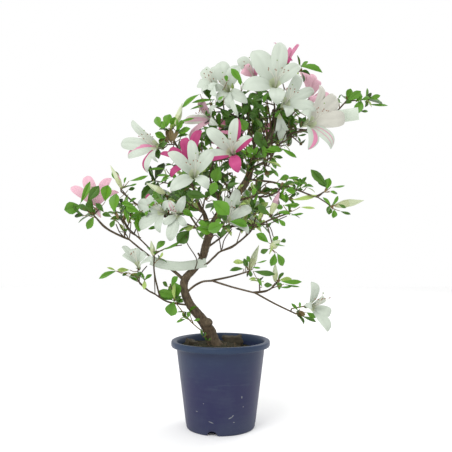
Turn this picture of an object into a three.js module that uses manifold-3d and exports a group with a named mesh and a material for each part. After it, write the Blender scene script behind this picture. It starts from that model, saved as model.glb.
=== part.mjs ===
// A flowering azalea shrub in its nursery pot, at real size, in millimetres.
// +Z is up, +X is to the right of the front view and -Y is the front.
// The origin is on the ground, at the middle of the pot's foot.
//
// The trunk and the boughs are tapering tubes along bent paths. Each mass of foliage starts with
// one stem, and a seeded rule branches twigs from it to named tips: a tuft of leaves, a bud or
// a bloom stands at each tip and is fused to its twig.

import * as THREE from 'three';
import { mergeVertices } from 'three/addons/utils/BufferGeometryUtils.js';
import Module from 'manifold-3d';

const wasm = await Module();
wasm.setup();

// Clearance between neighbouring pieces, and the size under which a sliver is smoothed away.
const clearance = 0.35;
const smallest = 0.06;

// Pot: a thin tapering bucket with a rolled lip, a raised moat under its floor and a notched skirt.
const potHeight = 130;
const lipRadius = 75;
const lipHeight = 9;
const wallTopRadius = 67.2;
const wallFootRadius = 51.9;
const wallThickness = 2;
const mouthRadius = 66;
const footPadRadius = 38;
const moatHeight = 7;
const floorHeight = 9;
const notchRadius = 8;
const notchDrop = 1.5;
const notchDepth = 14;
const notchSides = 12;
const notchCount = 3;
const notchTurn = -103.3;
const potSides = 30;

// Soil: filled to a little under the lip, and mounded round the trunk's foot.
const soilEdgeHeight = 115;
const soilHeight = 121;
const moundFlat = 20;
const moundReach = 46;
const soilSides = 20;
const soilRings = [16, 32, 47];

// Trunk: stations along its crooked axis, each with the trunk's radius there.
const trunkFoot = soilHeight + clearance;
const trunkStations = [
  { at: [-5, 8, 110], radius: 14 },
  { at: [-10, 8, 124], radius: 10.5 },
  { at: [-18, 6, 147], radius: 7.8 },
  { at: [-33, 3, 167], radius: 7 },
  { at: [-46, 0, 182], radius: 6.5 },
  { at: [-55, -2, 204], radius: 6 },
  { at: [-55, 0, 220], radius: 6 },
  { at: [-42, 4, 236], radius: 5.5 },
  { at: [-29, 6, 252], radius: 5.7 },
  { at: [-23, 2, 272], radius: 6.2 },
  { at: [-12, 0, 305], radius: 6 },
  { at: [7, 4, 333], radius: 6 },
  { at: [27, 6, 355], radius: 6 },
  { at: [42, 8, 377], radius: 5.8 },
  { at: [47, 10, 397], radius: 5 },
  { at: [51, 12, 411], radius: 4.6 },
];
const trunkSides = 8;
const trunkRings = 24;
const knob = { height: 157, to: [-11, 3, 163], radius: 5 };

// Boughs: each leaves its parent at a height on the trunk, or at a share of a bough's length,
// and runs through a few bends to its tip.
const boughSides = 5;
const boughSpecs = [
  {
    name: 'left_bough', on: 'trunk', start: 219, radii: [3.2, 2.2],
    bends: [[-73, 2, 235], [-105, 0, 254]],
  },
  {
    name: 'left_outer_bough', on: 'left_bough', start: 1, radii: [1.8, 1.5],
    bends: [[-122, -5, 268], [-138, -10, 282]],
  },
  {
    name: 'left_back_bough', on: 'left_bough', start: 0.93, radii: [1.6, 1.3],
    bends: [[-108, 6, 266], [-128, 10, 286]],
  },
  {
    name: 'low_left_bough', on: 'trunk', start: 182, radii: [1.8, 1.4],
    bends: [[-80, -15, 189], [-97, -25, 201]],
  },
  {
    name: 'low_right_bough', on: 'trunk', start: 200, radii: [2.1, 1.8],
    bends: [[-40, -5, 212], [-26, -10, 219], [-12, -12, 220]],
  },
  {
    name: 'low_right_outer_bough', on: 'low_right_bough', start: 1, radii: [1.8, 1.5],
    bends: [[16, -25, 212], [51, -40, 204]],
  },
  {
    name: 'right_low_bough', on: 'trunk', start: 240, radii: [2.1, 1.4],
    bends: [[-23, 6, 244], [-1, -10, 264], [16, -18, 270], [33, -25, 283]],
  },
  {
    name: 'lower_inner_bough', on: 'trunk', start: 302, radii: [2.2, 1.5],
    bends: [[15, -22, 302], [44, -36, 303], [60, -41, 305]],
  },
  {
    name: 'left_mid_bough', on: 'trunk', start: 291, radii: [2.4, 1.7],
    bends: [[-45, -10, 303], [-78, -15, 316]],
  },
  {
    name: 'upper_left_bough', on: 'trunk', start: 299, radii: [3, 1.9],
    bends: [[-27, 5, 323], [-38, 10, 350], [-51, 5, 387]],
  },
  {
    name: 'front_bough', on: 'trunk', start: 284, radii: [1.9, 1.5],
    bends: [[-25, -14, 297], [-24, -26, 312]],
  },
  {
    name: 'centre_bough', on: 'trunk', start: 312, radii: [2.6, 1.8],
    bends: [[-5, 6, 328], [-4, 2, 348], [-12, -8, 362]],
  },
  {
    name: 'right_bough', on: 'trunk', start: 376, radii: [2.2, 1.5],
    bends: [[85, 20, 372], [121, 32, 362]],
  },
  {
    name: 'inner_right_bough', on: 'trunk', start: 338, radii: [2, 1.5],
    bends: [[44, -15, 346], [68, -28, 346]],
  },
  {
    name: 'upper_right_bough', on: 'trunk', start: 402, radii: [2.2, 1.6],
    bends: [[80, 10, 419], [108, 10, 447], [133, 8, 453]],
  },
  {
    name: 'left_leader', on: 'trunk', start: 408, radii: [2.6, 1.9],
    bends: [[52, 9, 428], [46, 8, 447]],
  },
  {
    name: 'right_leader', on: 'trunk', start: 411, radii: [3.2, 2],
    bends: [[65, 15, 425], [74, 15, 442], [80, 13, 464]],
  },
  {
    name: 'crown_right_bough', on: 'right_leader', start: 0.4, radii: [1.7, 1.4],
    bends: [[84, 24, 436], [98, 24, 446]],
  },
  {
    name: 'back_left_bough', on: 'trunk', start: 287, radii: [2.2, 1.6],
    bends: [[-38, 30, 305], [-58, 52, 335]],
  },
  {
    name: 'back_middle_bough', on: 'trunk', start: 345, radii: [2.3, 1.6],
    bends: [[8, 38, 372], [-10, 60, 398]],
  },
  {
    name: 'back_right_bough', on: 'trunk', start: 388, radii: [2.2, 1.6],
    bends: [[62, 42, 402], [84, 62, 420]],
  },
  {
    name: 'back_low_bough', on: 'trunk', start: 268, radii: [2, 1.5],
    bends: [[0, 30, 286], [22, 48, 308]],
  },
];

// Twigs, leaves, buds and blooms. A share is a part of a leaf's length or of a bloom's radius.
const twigRadius = 1.15;
const twigTipRadius = 0.9;
const trunkTwigRadius = 1.55;
const stemStep = 0.1;
const twigSides = 3;
const twigSegment = 34;
const twigLead = 0.4;
const turnCost = 0.6;
const leafLengthShare = [0.82, 1.12];
const leafWidthShare = [0.34, 0.5];
const leafBroadest = 0.56;
const leafFold = 0.07;
const leafSway = 38;
const leafStep = 1.7;
const petalCount = 5;
const petalThickness = 1.3;
const petalNotchShare = 0.4;
const petalShoulder = { out: 0.78, turn: 25 };
const bloomArch = { hollow: -0.16, rim: 0.16, rimAt: 0.75, tip: 0 };
const tubeShare = 0.62;
const bloomFootRadius = 2.2;
const throatShare = 0.2;
const mouthShare = 0.035;
const rootSink = 3;
const budSides = 5;
const budOutline = [0.35, 1, 0.85, 0.16];
const placeGap = 9;
const shortTwig = 2;
const tuftRadius = 9;
const goldenTurn = 2.39996;
const seededBearings = [0, 90, 180, 270];
const seededBearingSpread = 60;

// Masses of foliage. A tuft is [x, y, z, leaf length, bearings...]: a bearing is the direction of
// one leaf as the front view shows it, in degrees, with 0 to the right and 90 straight up.
// A bloom is [x, y, z of its throat, radius, direction it faces], a bud is [foot, tip, radius].
// fill adds seeded tufts of leaves on all sides inside an ellipsoid.
const massSpecs = [
  {
    name: 'far_left_foliage', on: 'left_outer_bough', start: 1,
    stem: [[-168, -25, 298], [-187, -35, 318]],
    tufts: [
      [-187, -35, 320, 40, 175, 150, 112, 82, 245, 15],
      [-158, -15, 321, 32, 118, 98, 78, 178, 235],
      [-137, -5, 317, 25, 80, 40, 120, 0],
    ],
    blooms: [[-192, -38, 345, 35, -0.6, -0.1, 0.8]],
  },
  {
    name: 'left_lower_foliage', on: 'left_back_bough', start: 1,
    stem: [[-143, 12, 300], [-154, 12, 320]],
    tufts: [
      [-154, 12, 322, 26, 150, 90, 45, 200],
      [-127, 12, 310, 26, 270, 80, 170, 30],
      [-150, 40, 322, 26, 120, 60, 200, 340],
    ],
  },
  {
    name: 'left_riser_foliage', on: 'low_left_bough', start: 0.85,
    stem: [[-99, -23, 235], [-99, -22, 259]],
    tufts: [[-99, -22, 260, 30, 48, 22, 118, 200]],
    buds: [[[-100, -22, 258], [-104, -22, 281], 3.6]],
  },
  {
    name: 'low_left_foliage', on: 'low_left_bough', start: 1,
    stem: [[-107, -30, 207], [-121, -39, 222]],
    tufts: [[-121, -39, 225, 38, 178, 163, 110, 205, 55, 340]],
    blooms: [[-126, -44, 254, 26, -0.35, -0.25, 0.9]],
  },
  {
    name: 'foot_shoot_foliage', on: 'trunk', start: 131,
    stem: [[-43, -12, 157], [-61, -20, 180], [-68, -24, 190]],
    tufts: [
      [-68, -24, 191, 34, 160, 145, 78, 105, 255, 238, 12],
      [-52, -16, 167, 16, 190, 80, 10],
    ],
  },
  {
    name: 'low_right_foliage', on: 'low_right_bough', start: 0.93,
    stem: [[17, 3, 226], [44, 18, 233]],
    tufts: [[44, 20, 235, 28, 178, 150, 118, 90, 30, 340, 275, 5]],
    buds: [[[45, 20, 236], [60, 22, 274], 5]],
  },
  {
    name: 'low_right_middle_foliage', on: 'low_right_outer_bough', start: 0.95,
    stem: [[71, -35, 208], [83, -31, 218]],
    tufts: [
      [84, -30, 220, 32, 45, 25, 345, 330, 165, 318, 95],
      [58, -24, 219, 18, 150, 110, 350],
    ],
    buds: [[[81, -31, 220], [81, -30, 248], 3.8]],
  },
  {
    name: 'low_right_tip_foliage', on: 'low_right_outer_bough', start: 1,
    stem: [[78, -55, 190], [107, -70, 177]],
    tufts: [[108, -70, 177, 27, 112, 80, 325, 345, 195]],
    blooms: [[123, -77, 189, 41, 0.85, -0.45, 0.2]],
  },
  {
    name: 'lower_inner_foliage', on: 'lower_inner_bough', start: 1,
    stem: [[73, -44, 311], [98, -42, 320]],
    tufts: [
      [100, -42, 322, 30, 120, 45, 5, 345, 60],
      [74, -40, 315, 27, 135, 220, 35, 325, 160],
      [75, -48, 277, 28, 150, 172, 55, 20, 215],
    ],
    buds: [
      [[74, -41, 319], [87, -40, 354], 4.6],
      [[73, -47, 270], [87, -50, 281], 5.5],
    ],
  },
  {
    name: 'right_low_foliage', on: 'right_low_bough', start: 1,
    stem: [[46, -30, 296], [52, -35, 314]],
    tufts: [[51, -35, 317, 22, 115, 10, 340, 190]],
  },
  {
    name: 'centre_foliage', on: 'centre_bough', start: 1,
    stem: [[-16, -20, 378], [-10, -28, 400]],
    tufts: [
      [-8, -24, 405, 28, 130, 60, 20, 210],
      [12, -6, 382, 26, 330, 80, 200, 20],
    ],
    blooms: [
      [-35, -76, 376, 47, 0.1, -0.97, 0.2],
      [-50, -40, 404, 43, -0.35, -0.85, 0.35],
      [18, -62, 408, 45, -0.25, -0.95, 0.1],
    ],
  },
  {
    name: 'left_mid_foliage', on: 'left_mid_bough', start: 1,
    stem: [[-122, -25, 333], [-148, -32, 354]],
    tufts: [
      [-148, -32, 356, 32, 125, 160, 25, 40, 5, 345, 60],
      [-79, -30, 344, 24, 200, 180, 340, 215],
    ],
    buds: [
      [[-146, -32, 358], [-163, -35, 392], 3.8],
      [[-82, -30, 350], [-110, -35, 366], 4.6],
    ],
    blooms: [
      [-96, -34, 326, 33, -0.4, -0.85, 0.25],
      [-56, -48, 316, 34, -0.25, -0.9, -0.25],
    ],
  },
  {
    name: 'upper_left_foliage', on: 'upper_left_bough', start: 1,
    stem: [[-64, 0, 418], [-76, -9, 445]],
    tufts: [
      [-76, -10, 448, 29, 105, 80, 138, 165, 195, 355, 25, 330],
      [-87, -12, 431, 24, 205, 250, 285],
      [-81, 0, 380, 30, 155, 172, 192, 208, 75],
    ],
    buds: [[[-69, -14, 456], [-58, -15, 490], 4.6]],
    blooms: [[-104, -22, 428, 41, -0.9, -0.4, 0.05]],
  },
  {
    name: 'front_foliage', on: 'front_bough', start: 1,
    stem: [[-26, -30, 326], [-24, -30, 340]],
    tufts: [
      [-23, -30, 342, 38, 170, 60, 335, 110, 205],
      [-38, -32, 303, 36, 335, 20, 215, 190],
      [4, -32, 300, 32, 160, 5, 60, 285],
      [20, -28, 309, 28, 345, 50, 270],
      [-58, -22, 343, 22, 150, 110, 250],
    ],
    blooms: [[12, -58, 316, 38, 0.6, -0.55, 0.6]],
  },
  {
    name: 'right_tip_foliage', on: 'right_bough', start: 1,
    stem: [[152, 40, 353], [167, 40, 360]],
    tufts: [
      [167, 40, 362, 32, 122, 138, 50, 18, 345, 322, 95],
      [177, 42, 337, 26, 120, 58, 258, 280, 320, 335],
      [126, 30, 368, 22, 110, 60, 20],
    ],
    buds: [[[183, 41, 337], [231, 45, 346], 6]],
  },
  {
    name: 'right_mid_foliage', on: 'inner_right_bough', start: 1,
    stem: [[84, -38, 352], [90, -35, 360]],
    tufts: [
      [90, -35, 361, 30, 75, 30, 355, 140, 325],
      [104, -16, 345, 24, 5, 315, 220, 60],
      [48, -22, 356, 20, 130, 68, 0],
    ],
  },
  {
    name: 'top_foliage', on: 'right_leader', start: 1,
    stem: [[84, 8, 484], [82, 2, 500]],
    tufts: [
      [64, 5, 497, 30, 70, 110, 200, 240, 300],
      [88, 15, 473, 30, 20, 250, 300, 340],
      [124, 10, 546, 34, 5, 22, 50, 345],
      [48, 25, 472, 28, 60, 120, 200, 260],
    ],
    blooms: [
      [81, -50, 512, 48, 0, -1, 0.22],
      [112, -40, 489, 37, 0.45, -0.85, 0.25],
      [150, 38, 524, 35, 0.5, 0.3, 0.8],
      [42, 16, 548, 38, -0.35, -0.5, 0.75],
      [108, 34, 562, 37, 0.45, 0.15, 0.7],
    ],
  },
  {
    name: 'far_right_foliage', on: 'upper_right_bough', start: 1,
    stem: [[171, 12, 472], [186, 16, 488], [198, 20, 501]],
    tufts: [
      [199, 20, 503, 30, 42, 165, 145, 320, 75],
      [230, 25, 505, 29, 350, 5, 30, 100, 250],
    ],
    blooms: [[145, -34, 458, 46, 0.75, -0.6, -0.1]],
  },
  {
    name: 'top_left_foliage', on: 'left_leader', start: 1,
    stem: [[36, 6, 464], [10, 2, 480], [-12, 0, 489]],
    tufts: [
      [-13, 0, 490, 36, 172, 200, 130, 50, 225, 90],
      [-9, 15, 451, 32, 230, 150, 20, 320, 200],
      [15, 20, 460, 30, 340, 60, 120, 290],
    ],
    blooms: [
      [19, -24, 508, 38, -0.5, -0.8, -0.1],
      [-15, -12, 529, 34, -0.7, -0.3, 0.6],
      [-30, -2, 479, 34, -0.85, -0.3, -0.35],
    ],
  },
  {
    name: 'crown_right_foliage', on: 'crown_right_bough', start: 1,
    stem: [[106, 18, 452], [110, 12, 456]],
    tufts: [
      [111, 10, 457, 32, 60, 85, 285, 250, 330],
      [124, 20, 435, 24, 340, 20, 200, 300],
      [100, 42, 464, 28, 100, 140, 60],
    ],
    blooms: [[100, -9, 440, 30, 0.1, -0.4, -0.9]],
  },
  {
    name: 'inner_right_foliage', on: 'trunk', start: 394,
    stem: [[54, -8, 395], [64, -19, 399]],
    tufts: [
      [65, -20, 401, 40, 100, 45, 5, 335, 60],
      [68, -30, 384, 30, 285, 300, 335, 215],
      [40, -14, 410, 24, 20, 160, 250],
    ],
  },
  {
    name: 'back_left_foliage', on: 'back_left_bough', start: 1,
    stem: [[-66, 60, 352], [-70, 68, 372]],
    fill: { middle: [-76, 76, 368], spread: [52, 40, 46], tufts: 5, leaf: 36 },
    blooms: [[-78, 92, 352, 38, -0.35, 0.85, 0.2]],
  },
  {
    name: 'back_middle_foliage', on: 'back_middle_bough', start: 1,
    stem: [[-6, 68, 418], [2, 70, 438]],
    fill: { middle: [2, 76, 434], spread: [52, 40, 50], tufts: 5, leaf: 36 },
    blooms: [
      [8, 98, 452, 40, 0.1, 0.95, 0.25],
      [-48, 90, 432, 36, -0.7, 0.6, 0.3],
    ],
  },
  {
    name: 'back_right_foliage', on: 'back_right_bough', start: 1,
    stem: [[92, 68, 438], [94, 70, 456]],
    fill: { middle: [96, 76, 458], spread: [48, 38, 48], tufts: 5, leaf: 36 },
    blooms: [[98, 98, 474, 40, 0.2, 0.9, 0.3]],
  },
  {
    name: 'back_low_foliage', on: 'back_low_bough', start: 1,
    stem: [[30, 58, 326], [36, 62, 340]],
    fill: { middle: [40, 66, 338], spread: [48, 36, 38], tufts: 4, leaf: 34 },
    blooms: [[42, 90, 334, 36, 0.3, 0.9, 0.1]],
  },
];

// Blank paper strips: one runs from the trunk across the left bough, one hangs by the right tip.
const stripThickness = 0.8;
const stripSpecs = [
  {
    name: 'long_strip', width: 14,
    path: [
      [-105, -12, 251], [-88, -11, 245], [-62, -8, 242],
      [-42, -2.6, 244], [-30, -1.2, 246], [-22, 0.5, 247],
    ],
  },
  {
    name: 'short_strip', width: 20,
    path: [[174, 10.5, 473], [184, 11.5, 475], [200, 5, 476], [213, 0, 477]],
  },
];

const colours = {
  pot: 0x464a6c, soil: 0x3a3026, bark: 0x54483c, leaf: 0x4f8a2c, strip: 0xdfe8e2,
};
const degrees = Math.PI / 180;
const up = new THREE.Vector3(0, 0, 1);

function vector(numbers) {
  return new THREE.Vector3(numbers[0], numbers[1], numbers[2]);
}

// Even random numbers from 0 to 1 out of one seed, the same on every run.
function seeded(seed) {
  let state = seed;
  return function next() {
    state = (state + 0x6d2b79f5) | 0;
    let mixed = Math.imul(state ^ (state >>> 15), 1 | state);
    mixed = (mixed + Math.imul(mixed ^ (mixed >>> 7), 61 | mixed)) ^ mixed;
    return ((mixed ^ (mixed >>> 14)) >>> 0) / 4294967296;
  };
}

// A closed three.js geometry as a solid that can be cut and joined.
function solidOf(geometry) {
  const bare = geometry.clone();
  bare.deleteAttribute('normal');
  bare.deleteAttribute('uv');
  const merged = mergeVertices(bare, 1e-4);
  const corners = merged.index.array;
  const kept = [];
  for (let i = 0; i < corners.length; i += 3) {
    const [a, b, c] = [corners[i], corners[i + 1], corners[i + 2]];
    if (a !== b && b !== c && a !== c) kept.push(a, b, c);
  }
  return new wasm.Manifold(new wasm.Mesh({
    numProp: 3,
    vertProperties: Float32Array.from(merged.attributes.position.array),
    triVerts: Uint32Array.from(kept),
  }));
}

// The solid's outermost whole part, with slivers smoothed, loose scraps dropped and hollows filled.
function whole(solid) {
  const parts = solid.simplify(smallest).decompose();
  return parts.reduce((best, part) => (part.volume() > best.volume() ? part : best));
}

function moveCorners(geometry, place) {
  const position = geometry.attributes.position;
  const corner = new THREE.Vector3();
  for (let i = 0; i < position.count; i += 1) {
    corner.fromBufferAttribute(position, i);
    const moved = place(corner);
    position.setXYZ(i, moved.x, moved.y, moved.z);
  }
  return geometry;
}

// A spine is a row of points along a limb, a twig or a strip. This one runs smoothly through bends.
function spineThrough(bends, rings) {
  return new THREE.CatmullRomCurve3(bends).getPoints(rings);
}

function spineLength(spine) {
  return spine.slice(1).reduce((sum, point, i) => sum + point.distanceTo(spine[i]), 0);
}

// The point at a distance along a spine, and the direction of the spine there.
function spinePlace(spine, distance) {
  let left = Math.max(0, distance);
  let index = 1;
  while (index < spine.length - 1 && left > spine[index].distanceTo(spine[index - 1])) {
    left -= spine[index].distanceTo(spine[index - 1]);
    index += 1;
  }
  const along = spine[index].clone().sub(spine[index - 1]);
  const share = Math.min(1, left / along.length());
  return { at: spine[index - 1].clone().addScaledVector(along, share), along: along.normalize() };
}

// Each point of a spine with its direction and two crosswise axes that turn as little as they can.
function stationsAlong(spine, firstSide) {
  const last = spine.length - 1;
  const stations = [];
  let side = firstSide ? firstSide.clone() : new THREE.Vector3(0.31, 0.83, 0.46);
  spine.forEach((at, i) => {
    const before = spine[Math.max(0, i - 1)];
    const after = spine[Math.min(last, i + 1)];
    const along = after.clone().sub(before).normalize();
    side = side.clone().addScaledVector(along, -side.dot(along)).normalize();
    stations.push({ at, along, side, cross: side.clone().cross(along) });
  });
  return stations;
}

// A tube along a spine: halves(share) gives its two half widths at each share of the spine.
// extra swells it all round and lengthens it, which cuts a clear seat for it.
function tube(spine, sides, halves, extra = 0, firstSide = null) {
  const rings = spine.length - 1;
  const stations = stationsAlong(spine, firstSide);
  const geometry = moveCorners(new THREE.CylinderGeometry(1, 1, 1, sides, rings), (corner) => {
    const ring = Math.round((corner.y + 0.5) * rings);
    const { at, along, side, cross } = stations[ring];
    const [half, thick] = halves(ring / rings);
    const end = ring === 0 ? -extra : ring === rings ? extra : 0;
    return at.clone()
      .addScaledVector(along, end)
      .addScaledVector(side, corner.x * (half + extra))
      .addScaledVector(cross, corner.z * (thick + extra));
  });
  return solidOf(geometry);
}

function mix(from, to, share) {
  return from + (to - from) * share;
}

function smooth(share) {
  const held = Math.min(1, Math.max(0, share));
  return held * held * (3 - 2 * held);
}

// Turns an outline of [radius, height] points round the upright axis.
function turned(outline, sides) {
  const profile = outline.map(([radius, height]) => new THREE.Vector2(radius, height));
  const geometry = new THREE.LatheGeometry(profile, sides);
  geometry.rotateX(Math.PI / 2);
  return geometry;
}

function potSolid() {
  const wallTop = potHeight - lipHeight;
  const slope = (wallTopRadius - wallFootRadius) / wallTop;
  const innerFoot = wallFootRadius + slope * floorHeight - wallThickness;
  const outline = [
    [0, 0], [footPadRadius, 0], [footPadRadius + 2, moatHeight], [wallFootRadius - 4.5, moatHeight],
    [wallFootRadius - 3.5, 0], [wallFootRadius - 1.5, 0], [wallFootRadius, 2.5],
    [wallTopRadius, wallTop], [lipRadius - 1, wallTop], [lipRadius, wallTop + 1.5],
    [lipRadius, potHeight - 2], [lipRadius - 2, potHeight],
    [mouthRadius + 1.5, potHeight], [mouthRadius, potHeight - 1.2],
    [wallTopRadius - wallThickness, wallTop - 1],
    [innerFoot, floorHeight], [0, floorHeight],
  ];
  let pot = solidOf(turned(outline, potSides));
  for (let i = 0; i < notchCount; i += 1) {
    const notch = new THREE.CylinderGeometry(notchRadius, notchRadius, notchDepth, notchSides);
    notch.rotateZ(Math.PI / 2);
    notch.translate(wallFootRadius - 1, 0, -notchDrop);
    notch.rotateZ((notchTurn + i * 360 / notchCount) * degrees);
    pot = pot.subtract(solidOf(notch));
  }
  return pot;
}

function soilSolid() {
  const wallTop = potHeight - lipHeight;
  const slope = (wallTopRadius - wallFootRadius) / (wallTop - 2.5);
  const innerAt = (height) => wallFootRadius + slope * (height - 2.5) - wallThickness - clearance - 0.6;
  const bottom = floorHeight + clearance;
  const outline = [[0, bottom], [innerAt(bottom), bottom], [innerAt(soilEdgeHeight), soilEdgeHeight]];
  for (const radius of [...soilRings].reverse()) outline.push([radius, soilEdgeHeight]);
  outline.push([0, soilEdgeHeight]);
  const foot = vector(trunkStations[0].at);
  const geometry = moveCorners(turned(outline, soilSides), (corner) => {
    const moved = corner.clone();
    const distance = Math.hypot(corner.x - foot.x, corner.y - foot.y);
    const nearness = smooth((moundReach - distance) / (moundReach - moundFlat));
    if (corner.z > soilEdgeHeight - 1) moved.z += (soilHeight - soilEdgeHeight) * nearness;
    return moved;
  });
  return solidOf(geometry);
}

const trunkSpine = spineThrough(trunkStations.map((station) => vector(station.at)), trunkRings);

function trunkRadiusAt(share) {
  const place = share * (trunkStations.length - 1);
  const index = Math.min(trunkStations.length - 2, Math.floor(place));
  const radius = mix(trunkStations[index].radius, trunkStations[index + 1].radius, place - index);
  return [radius, radius];
}

function trunkPointAtHeight(height) {
  const above = Math.max(1, trunkSpine.findIndex((point) => point.z >= height));
  const [low, high] = [trunkSpine[above - 1], trunkSpine[above]];
  return low.clone().lerp(high, (height - low.z) / (high.z - low.z));
}

function trunkSolid(extra = 0) {
  const knobSpine = [trunkPointAtHeight(knob.height), vector(knob.to)];
  const below = new THREE.BoxGeometry(potHeight, potHeight, potHeight);
  below.translate(0, 0, trunkFoot - extra - potHeight / 2);
  return tube(trunkSpine, trunkSides, trunkRadiusAt, extra)
    .add(tube(knobSpine, boughSides, () => [knob.radius, knob.radius], extra))
    .subtract(solidOf(below));
}

// Limbs that later pieces start on. Each knows its points and how to make itself a little larger.
const limbs = new Map();
limbs.set('trunk', {
  pointAt: trunkPointAtHeight,
  solid: trunkSolid(),
  swollen: trunkSolid(clearance),
  tipRadius: trunkTwigRadius,
});

// A limb's foot is cut back to its clearance from every limb that is already there.
function seated(solid) {
  return whole([...limbs.values()].reduce((left, limb) => left.subtract(limb.swollen), solid));
}

function growBough({ name, on, start, bends, radii }) {
  const parent = limbs.get(on);
  const spine = spineThrough([parent.pointAt(start), ...bends.map(vector)], bends.length * 2);
  const radiusAt = (share) => [mix(radii[0], radii[1], share), mix(radii[0], radii[1], share)];
  limbs.set(name, {
    pointAt: (share) => spinePlace(spine, share * spineLength(spine)).at,
    solid: seated(tube(spine, boughSides, radiusAt)),
    swollen: tube(spine, boughSides, radiusAt, clearance),
    tipRadius: radii[1],
  });
}

// A leaf of four faces, folded along its midrib: it is broadest a little past the middle.
function leafSolid(foot, direction, length, widthShare, face) {
  const side = direction.clone().cross(face).normalize();
  const top = side.clone().cross(direction).normalize();
  return solidOf(moveCorners(new THREE.TetrahedronGeometry(1), (corner) => {
    const onMidrib = corner.z > 0;
    const share = onMidrib ? Number(corner.x > 0) : leafBroadest;
    const out = onMidrib ? 0 : -Math.sign(corner.x) * length * widthShare / 2;
    return foot.clone()
      .addScaledVector(direction, share * length)
      .addScaledVector(side, out)
      .addScaledVector(top, onMidrib ? 0 : length * leafFold);
  }));
}

// A direction in the front view, turned towards or away from the viewer by sway.
function bearingDirection(bearing, sway) {
  const flat = Math.cos(sway);
  return new THREE.Vector3(flat * Math.cos(bearing), -Math.sin(sway), flat * Math.sin(bearing));
}

// The leaves of a tuft sit one behind the other along the last stretch of their twig.
function tuftLeaves([, , , length, ...bearings], spine, random) {
  const reach = spineLength(spine);
  const step = Math.min(leafStep, reach / (bearings.length + 1));
  return bearings.map((bearing, index) => {
    const foot = spinePlace(spine, reach - step * (index + 0.5)).at;
    const sway = (random() * 2 - 1) * leafSway * degrees;
    const direction = bearingDirection(bearing * degrees, sway);
    const size = length * mix(leafLengthShare[0], leafLengthShare[1], random());
    const width = mix(leafWidthShare[0], leafWidthShare[1], random());
    const face = new THREE.Vector3(random() - 0.5, -0.9, random() + 0.3).normalize();
    return leafSolid(foot, direction, size, width, face);
  });
}

// The outline of an open bloom seen from the front: five petals that widen to their shoulders.
function bloomOutline(radius) {
  const outline = new THREE.Shape();
  const point = (share, turn) => new THREE.Vector2(
    share * radius * Math.cos(turn * degrees),
    share * radius * Math.sin(turn * degrees),
  );
  const petalTurn = 360 / petalCount;
  const corners = [];
  for (let i = 0; i < petalCount; i += 1) {
    const middle = i * petalTurn;
    corners.push(point(petalNotchShare, middle - petalTurn / 2));
    corners.push(point(petalShoulder.out, middle - petalShoulder.turn));
    corners.push(point(1, middle));
    corners.push(point(petalShoulder.out, middle + petalShoulder.turn));
  }
  return outline.setFromPoints(corners);
}

// How far forward of the throat the petals stand, at a share of the bloom's radius.
function bloomForward(share) {
  const { hollow, rim, rimAt, tip } = bloomArch;
  return share < rimAt
    ? mix(hollow, rim, smooth(share / rimAt))
    : mix(rim, tip, (share - rimAt) / (1 - rimAt));
}

// A bloom: a closed trumpet from its foot to its throat, and petals that arch out and back.
function bloomTip(bloom, random) {
  const [x, y, z, radius, ...faces] = bloom;
  const throat = new THREE.Vector3(x, y, z);
  const facing = vector(faces).normalize();
  const foot = throat.clone().addScaledVector(facing, -radius * tubeShare);
  const sunk = foot.clone().addScaledVector(facing, -rootSink);
  const mouth = throat.clone().addScaledVector(facing, radius * mouthShare);
  const funnel = tube([sunk, mouth], budSides, (share) => {
    const half = mix(bloomFootRadius, radius * throatShare, share);
    return [half, half];
  });
  const level = Math.abs(facing.z) > 0.9 ? new THREE.Vector3(1, 0, 0) : up;
  const across = facing.clone().cross(level).normalize();
  const upright = facing.clone().cross(across);
  const turn = random() * 360 / petalCount * degrees;
  const sheet = { depth: petalThickness, bevelEnabled: false };
  const petals = new THREE.ExtrudeGeometry(bloomOutline(radius), sheet);
  petals.rotateZ(turn);
  moveCorners(petals, (corner) => {
    const forward = bloomForward(Math.hypot(corner.x, corner.y) / radius) * radius + corner.z;
    return throat.clone()
      .addScaledVector(across, corner.x)
      .addScaledVector(upright, corner.y)
      .addScaledVector(facing, forward);
  });
  return { foot, flower: funnel.add(solidOf(petals)) };
}

function budSolid(foot, tip, radius) {
  const sunk = foot.clone().sub(tip).setLength(rootSink).add(foot);
  const spine = budOutline.map((_, i) => sunk.clone().lerp(tip, i / (budOutline.length - 1)));
  return tube(spine, budSides, (share) => {
    const half = budOutline[Math.round(share * (budOutline.length - 1))] * radius;
    return [half, half];
  });
}

// Places along a stem or twig, from which later twigs may branch.
function branchingPlaces(spine) {
  const reach = spineLength(spine);
  const count = Math.max(2, Math.round(reach / placeGap));
  return Array.from({ length: count }, (_, i) => ({
    ...spinePlace(spine, reach * (i + 1) / count),
    spine,
  }));
}

// The branching rule: a twig springs from the place that is nearest its tip, with a place that
// already points that way counted as nearer.
function nearestPlace(tip, places) {
  let best = null;
  let bestCost = Infinity;
  for (const place of places) {
    const reach = tip.clone().sub(place.at);
    const distance = reach.length();
    const lean = distance > 0.01 ? reach.normalize().dot(place.along) : 1;
    const cost = distance * (1 + turnCost * (1 - lean));
    if (cost < bestCost) {
      best = place;
      bestCost = cost;
    }
  }
  return best;
}

// The spine of a twig: it leaves its place along the parent's own direction, then bends to its tip.
function twigSpine({ at, along }, tip) {
  const distance = at.distanceTo(tip);
  const bend = at.clone().addScaledVector(along, distance * twigLead);
  const curve = new THREE.QuadraticBezierCurve3(at, bend, tip);
  return curve.getPoints(Math.max(1, Math.round(distance / twigSegment)));
}

function taperingTwig(spine, sides, footRadius, tipRadius) {
  return tube(spine, sides, (share) => {
    const radius = mix(footRadius, tipRadius, share);
    return [radius, radius];
  });
}

function boxesApart(first, second) {
  return [0, 1, 2].some((axis) => first.min[axis] > second.max[axis] + clearance
    || second.min[axis] > first.max[axis] + clearance);
}

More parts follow.
